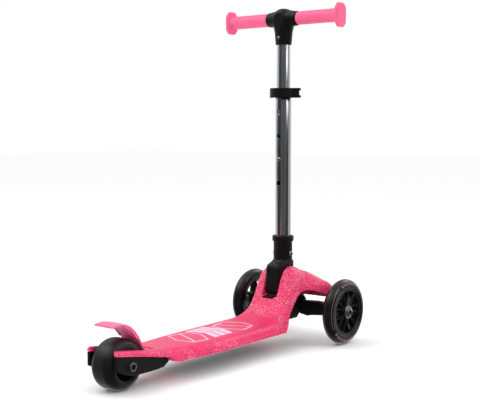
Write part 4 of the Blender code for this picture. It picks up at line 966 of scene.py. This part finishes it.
def surround(tree):
    """Even white light and a white background, while gloss sees a room that is dark behind the viewer."""
    even = tree.nodes["Background"]
    even.inputs["Color"].default_value = (1.0, 1.0, 1.0, 1.0)
    even.inputs["Strength"].default_value = 1.0
    way = tree.nodes.new("ShaderNodeTexCoord")
    turn = tree.nodes.new("ShaderNodeVectorRotate")
    turn.rotation_type = "Z_AXIS"
    turn.inputs["Angle"].default_value = -VIEW_TURN
    tree.links.new(way.outputs["Generated"], turn.inputs["Vector"])
    split = tree.nodes.new("ShaderNodeSeparateXYZ")
    tree.links.new(turn.outputs["Vector"], split.inputs["Vector"])
    bands = tree.nodes.new("ShaderNodeValToRGB")
    stops = ((0.0, 0.06), (0.06, 0.10), (0.14, 0.05), (0.40, 0.015), (0.52, 0.55), (0.60, 0.30),
             (0.80, 0.80), (1.0, 1.0))
    ramp = bands.color_ramp.elements
    while len(ramp) < len(stops):
        ramp.new(0.5)
    for stop, (place, tone) in zip(ramp, stops):
        stop.position = place
        stop.color = (tone, tone, tone * 1.03, 1.0)
    front = tree.nodes.new("ShaderNodeMapRange")
    front.inputs["From Min"].default_value = -1.0
    tree.links.new(split.outputs["Y"], front.inputs["Value"])
    tree.links.new(front.outputs["Result"], bands.inputs["Fac"])
    overhead = tree.nodes.new("ShaderNodeMapRange")
    overhead.inputs["From Min"].default_value = 0.45
    overhead.inputs["From Max"].default_value = 0.75
    tree.links.new(split.outputs["Z"], overhead.inputs["Value"])
    seen = tree.nodes.new("ShaderNodeMix")
    seen.data_type = "RGBA"
    tree.links.new(overhead.outputs["Result"], seen.inputs[0])
    tree.links.new(bands.outputs["Color"], seen.inputs[6])
    seen.inputs[7].default_value = (0.9, 0.9, 0.92, 1.0)
    room = tree.nodes.new("ShaderNodeBackground")
    tree.links.new(seen.outputs[2], room.inputs["Color"])
    ray = tree.nodes.new("ShaderNodeLightPath")
    choose = tree.nodes.new("ShaderNodeMixShader")
    tree.links.new(ray.outputs["Is Glossy Ray"], choose.inputs[0])
    tree.links.new(even.outputs["Background"], choose.inputs[1])
    tree.links.new(room.outputs["Background"], choose.inputs[2])
    tree.links.new(choose.outputs["Shader"], tree.nodes["World Output"].inputs["Surface"])


def paper_floor():
    """A matt white sweep that gives soft shadows and isn't seen in gloss."""
    shade = Shade("floor_paper", (0.97, 0.97, 0.97), 1.0, specular=0.0)
    shade.set("Base Color", shade.mix(shade.noise(3, 2), (0.965, 0.965, 0.965, 1), (0.975, 0.975, 0.975, 1)))
    bm = bmesh.new()
    bmesh.ops.create_grid(bm, x_segments=2, y_segments=2, size=FLOOR_REACH)
    floor = new_object("floor", mesh_from(bm, "floor"), Matrix.Translation((0, 0, -FLOOR_DROP)))
    floor.data.materials.append(shade.material)
    floor.visible_glossy = False


def aimed(name, data, place, aim):
    """A light or a camera that stands at one place and looks at another."""
    holder = bpy.data.objects.new(name, data)
    bpy.context.scene.collection.objects.link(holder)
    holder.location = place
    holder.rotation_euler = (Vector(aim) - Vector(place)).to_track_quat("-Z", "Y").to_euler()
    return holder


def studio():
    """White floor and surround, three soft lights, and the camera at the photo's angle."""
    scene = bpy.context.scene
    scene.view_settings.view_transform = "Standard"
    paper_floor()
    world = bpy.data.worlds.new("studio")
    scene.world = world
    world.use_nodes = True
    surround(world.node_tree)
    for name, place, aim, across, power in (
        ("key", (-1.1, -0.7, 2.0), (0, 0, 0.2), 1.6, 16),
        ("fill", (1.9, 0.4, 1.5), (0, 0, 0.3), 1.2, 7),
        ("rim", (0.2, 2.2, 1.6), (0, 0, 0.3), 1.0, 8),
    ):
        light = bpy.data.lights.new(name, "AREA")
        light.energy = power
        light.size = across
        aimed(name, light, place, aim)
    camera = bpy.data.cameras.new("camera")
    camera.lens = LENS
    camera.sensor_width = SENSOR
    scene.camera = aimed("camera", camera, VIEW_FROM, VIEW_AT)


skin = pink_moulding()
deck_pattern(skin)
for wheel, toward in (("front_left", -1), ("front_right", 1)):
    front_wheel(wheel, toward)
rear_wheel()
for wheel in ("front_left", "front_right", "rear"):
    for end in ("inner", "outer"):
        bearing(f"{wheel}_bearing_{end}")
plain_pieces()
coil("release_spring", 7)
coil("snap_spring", 9)
studio()
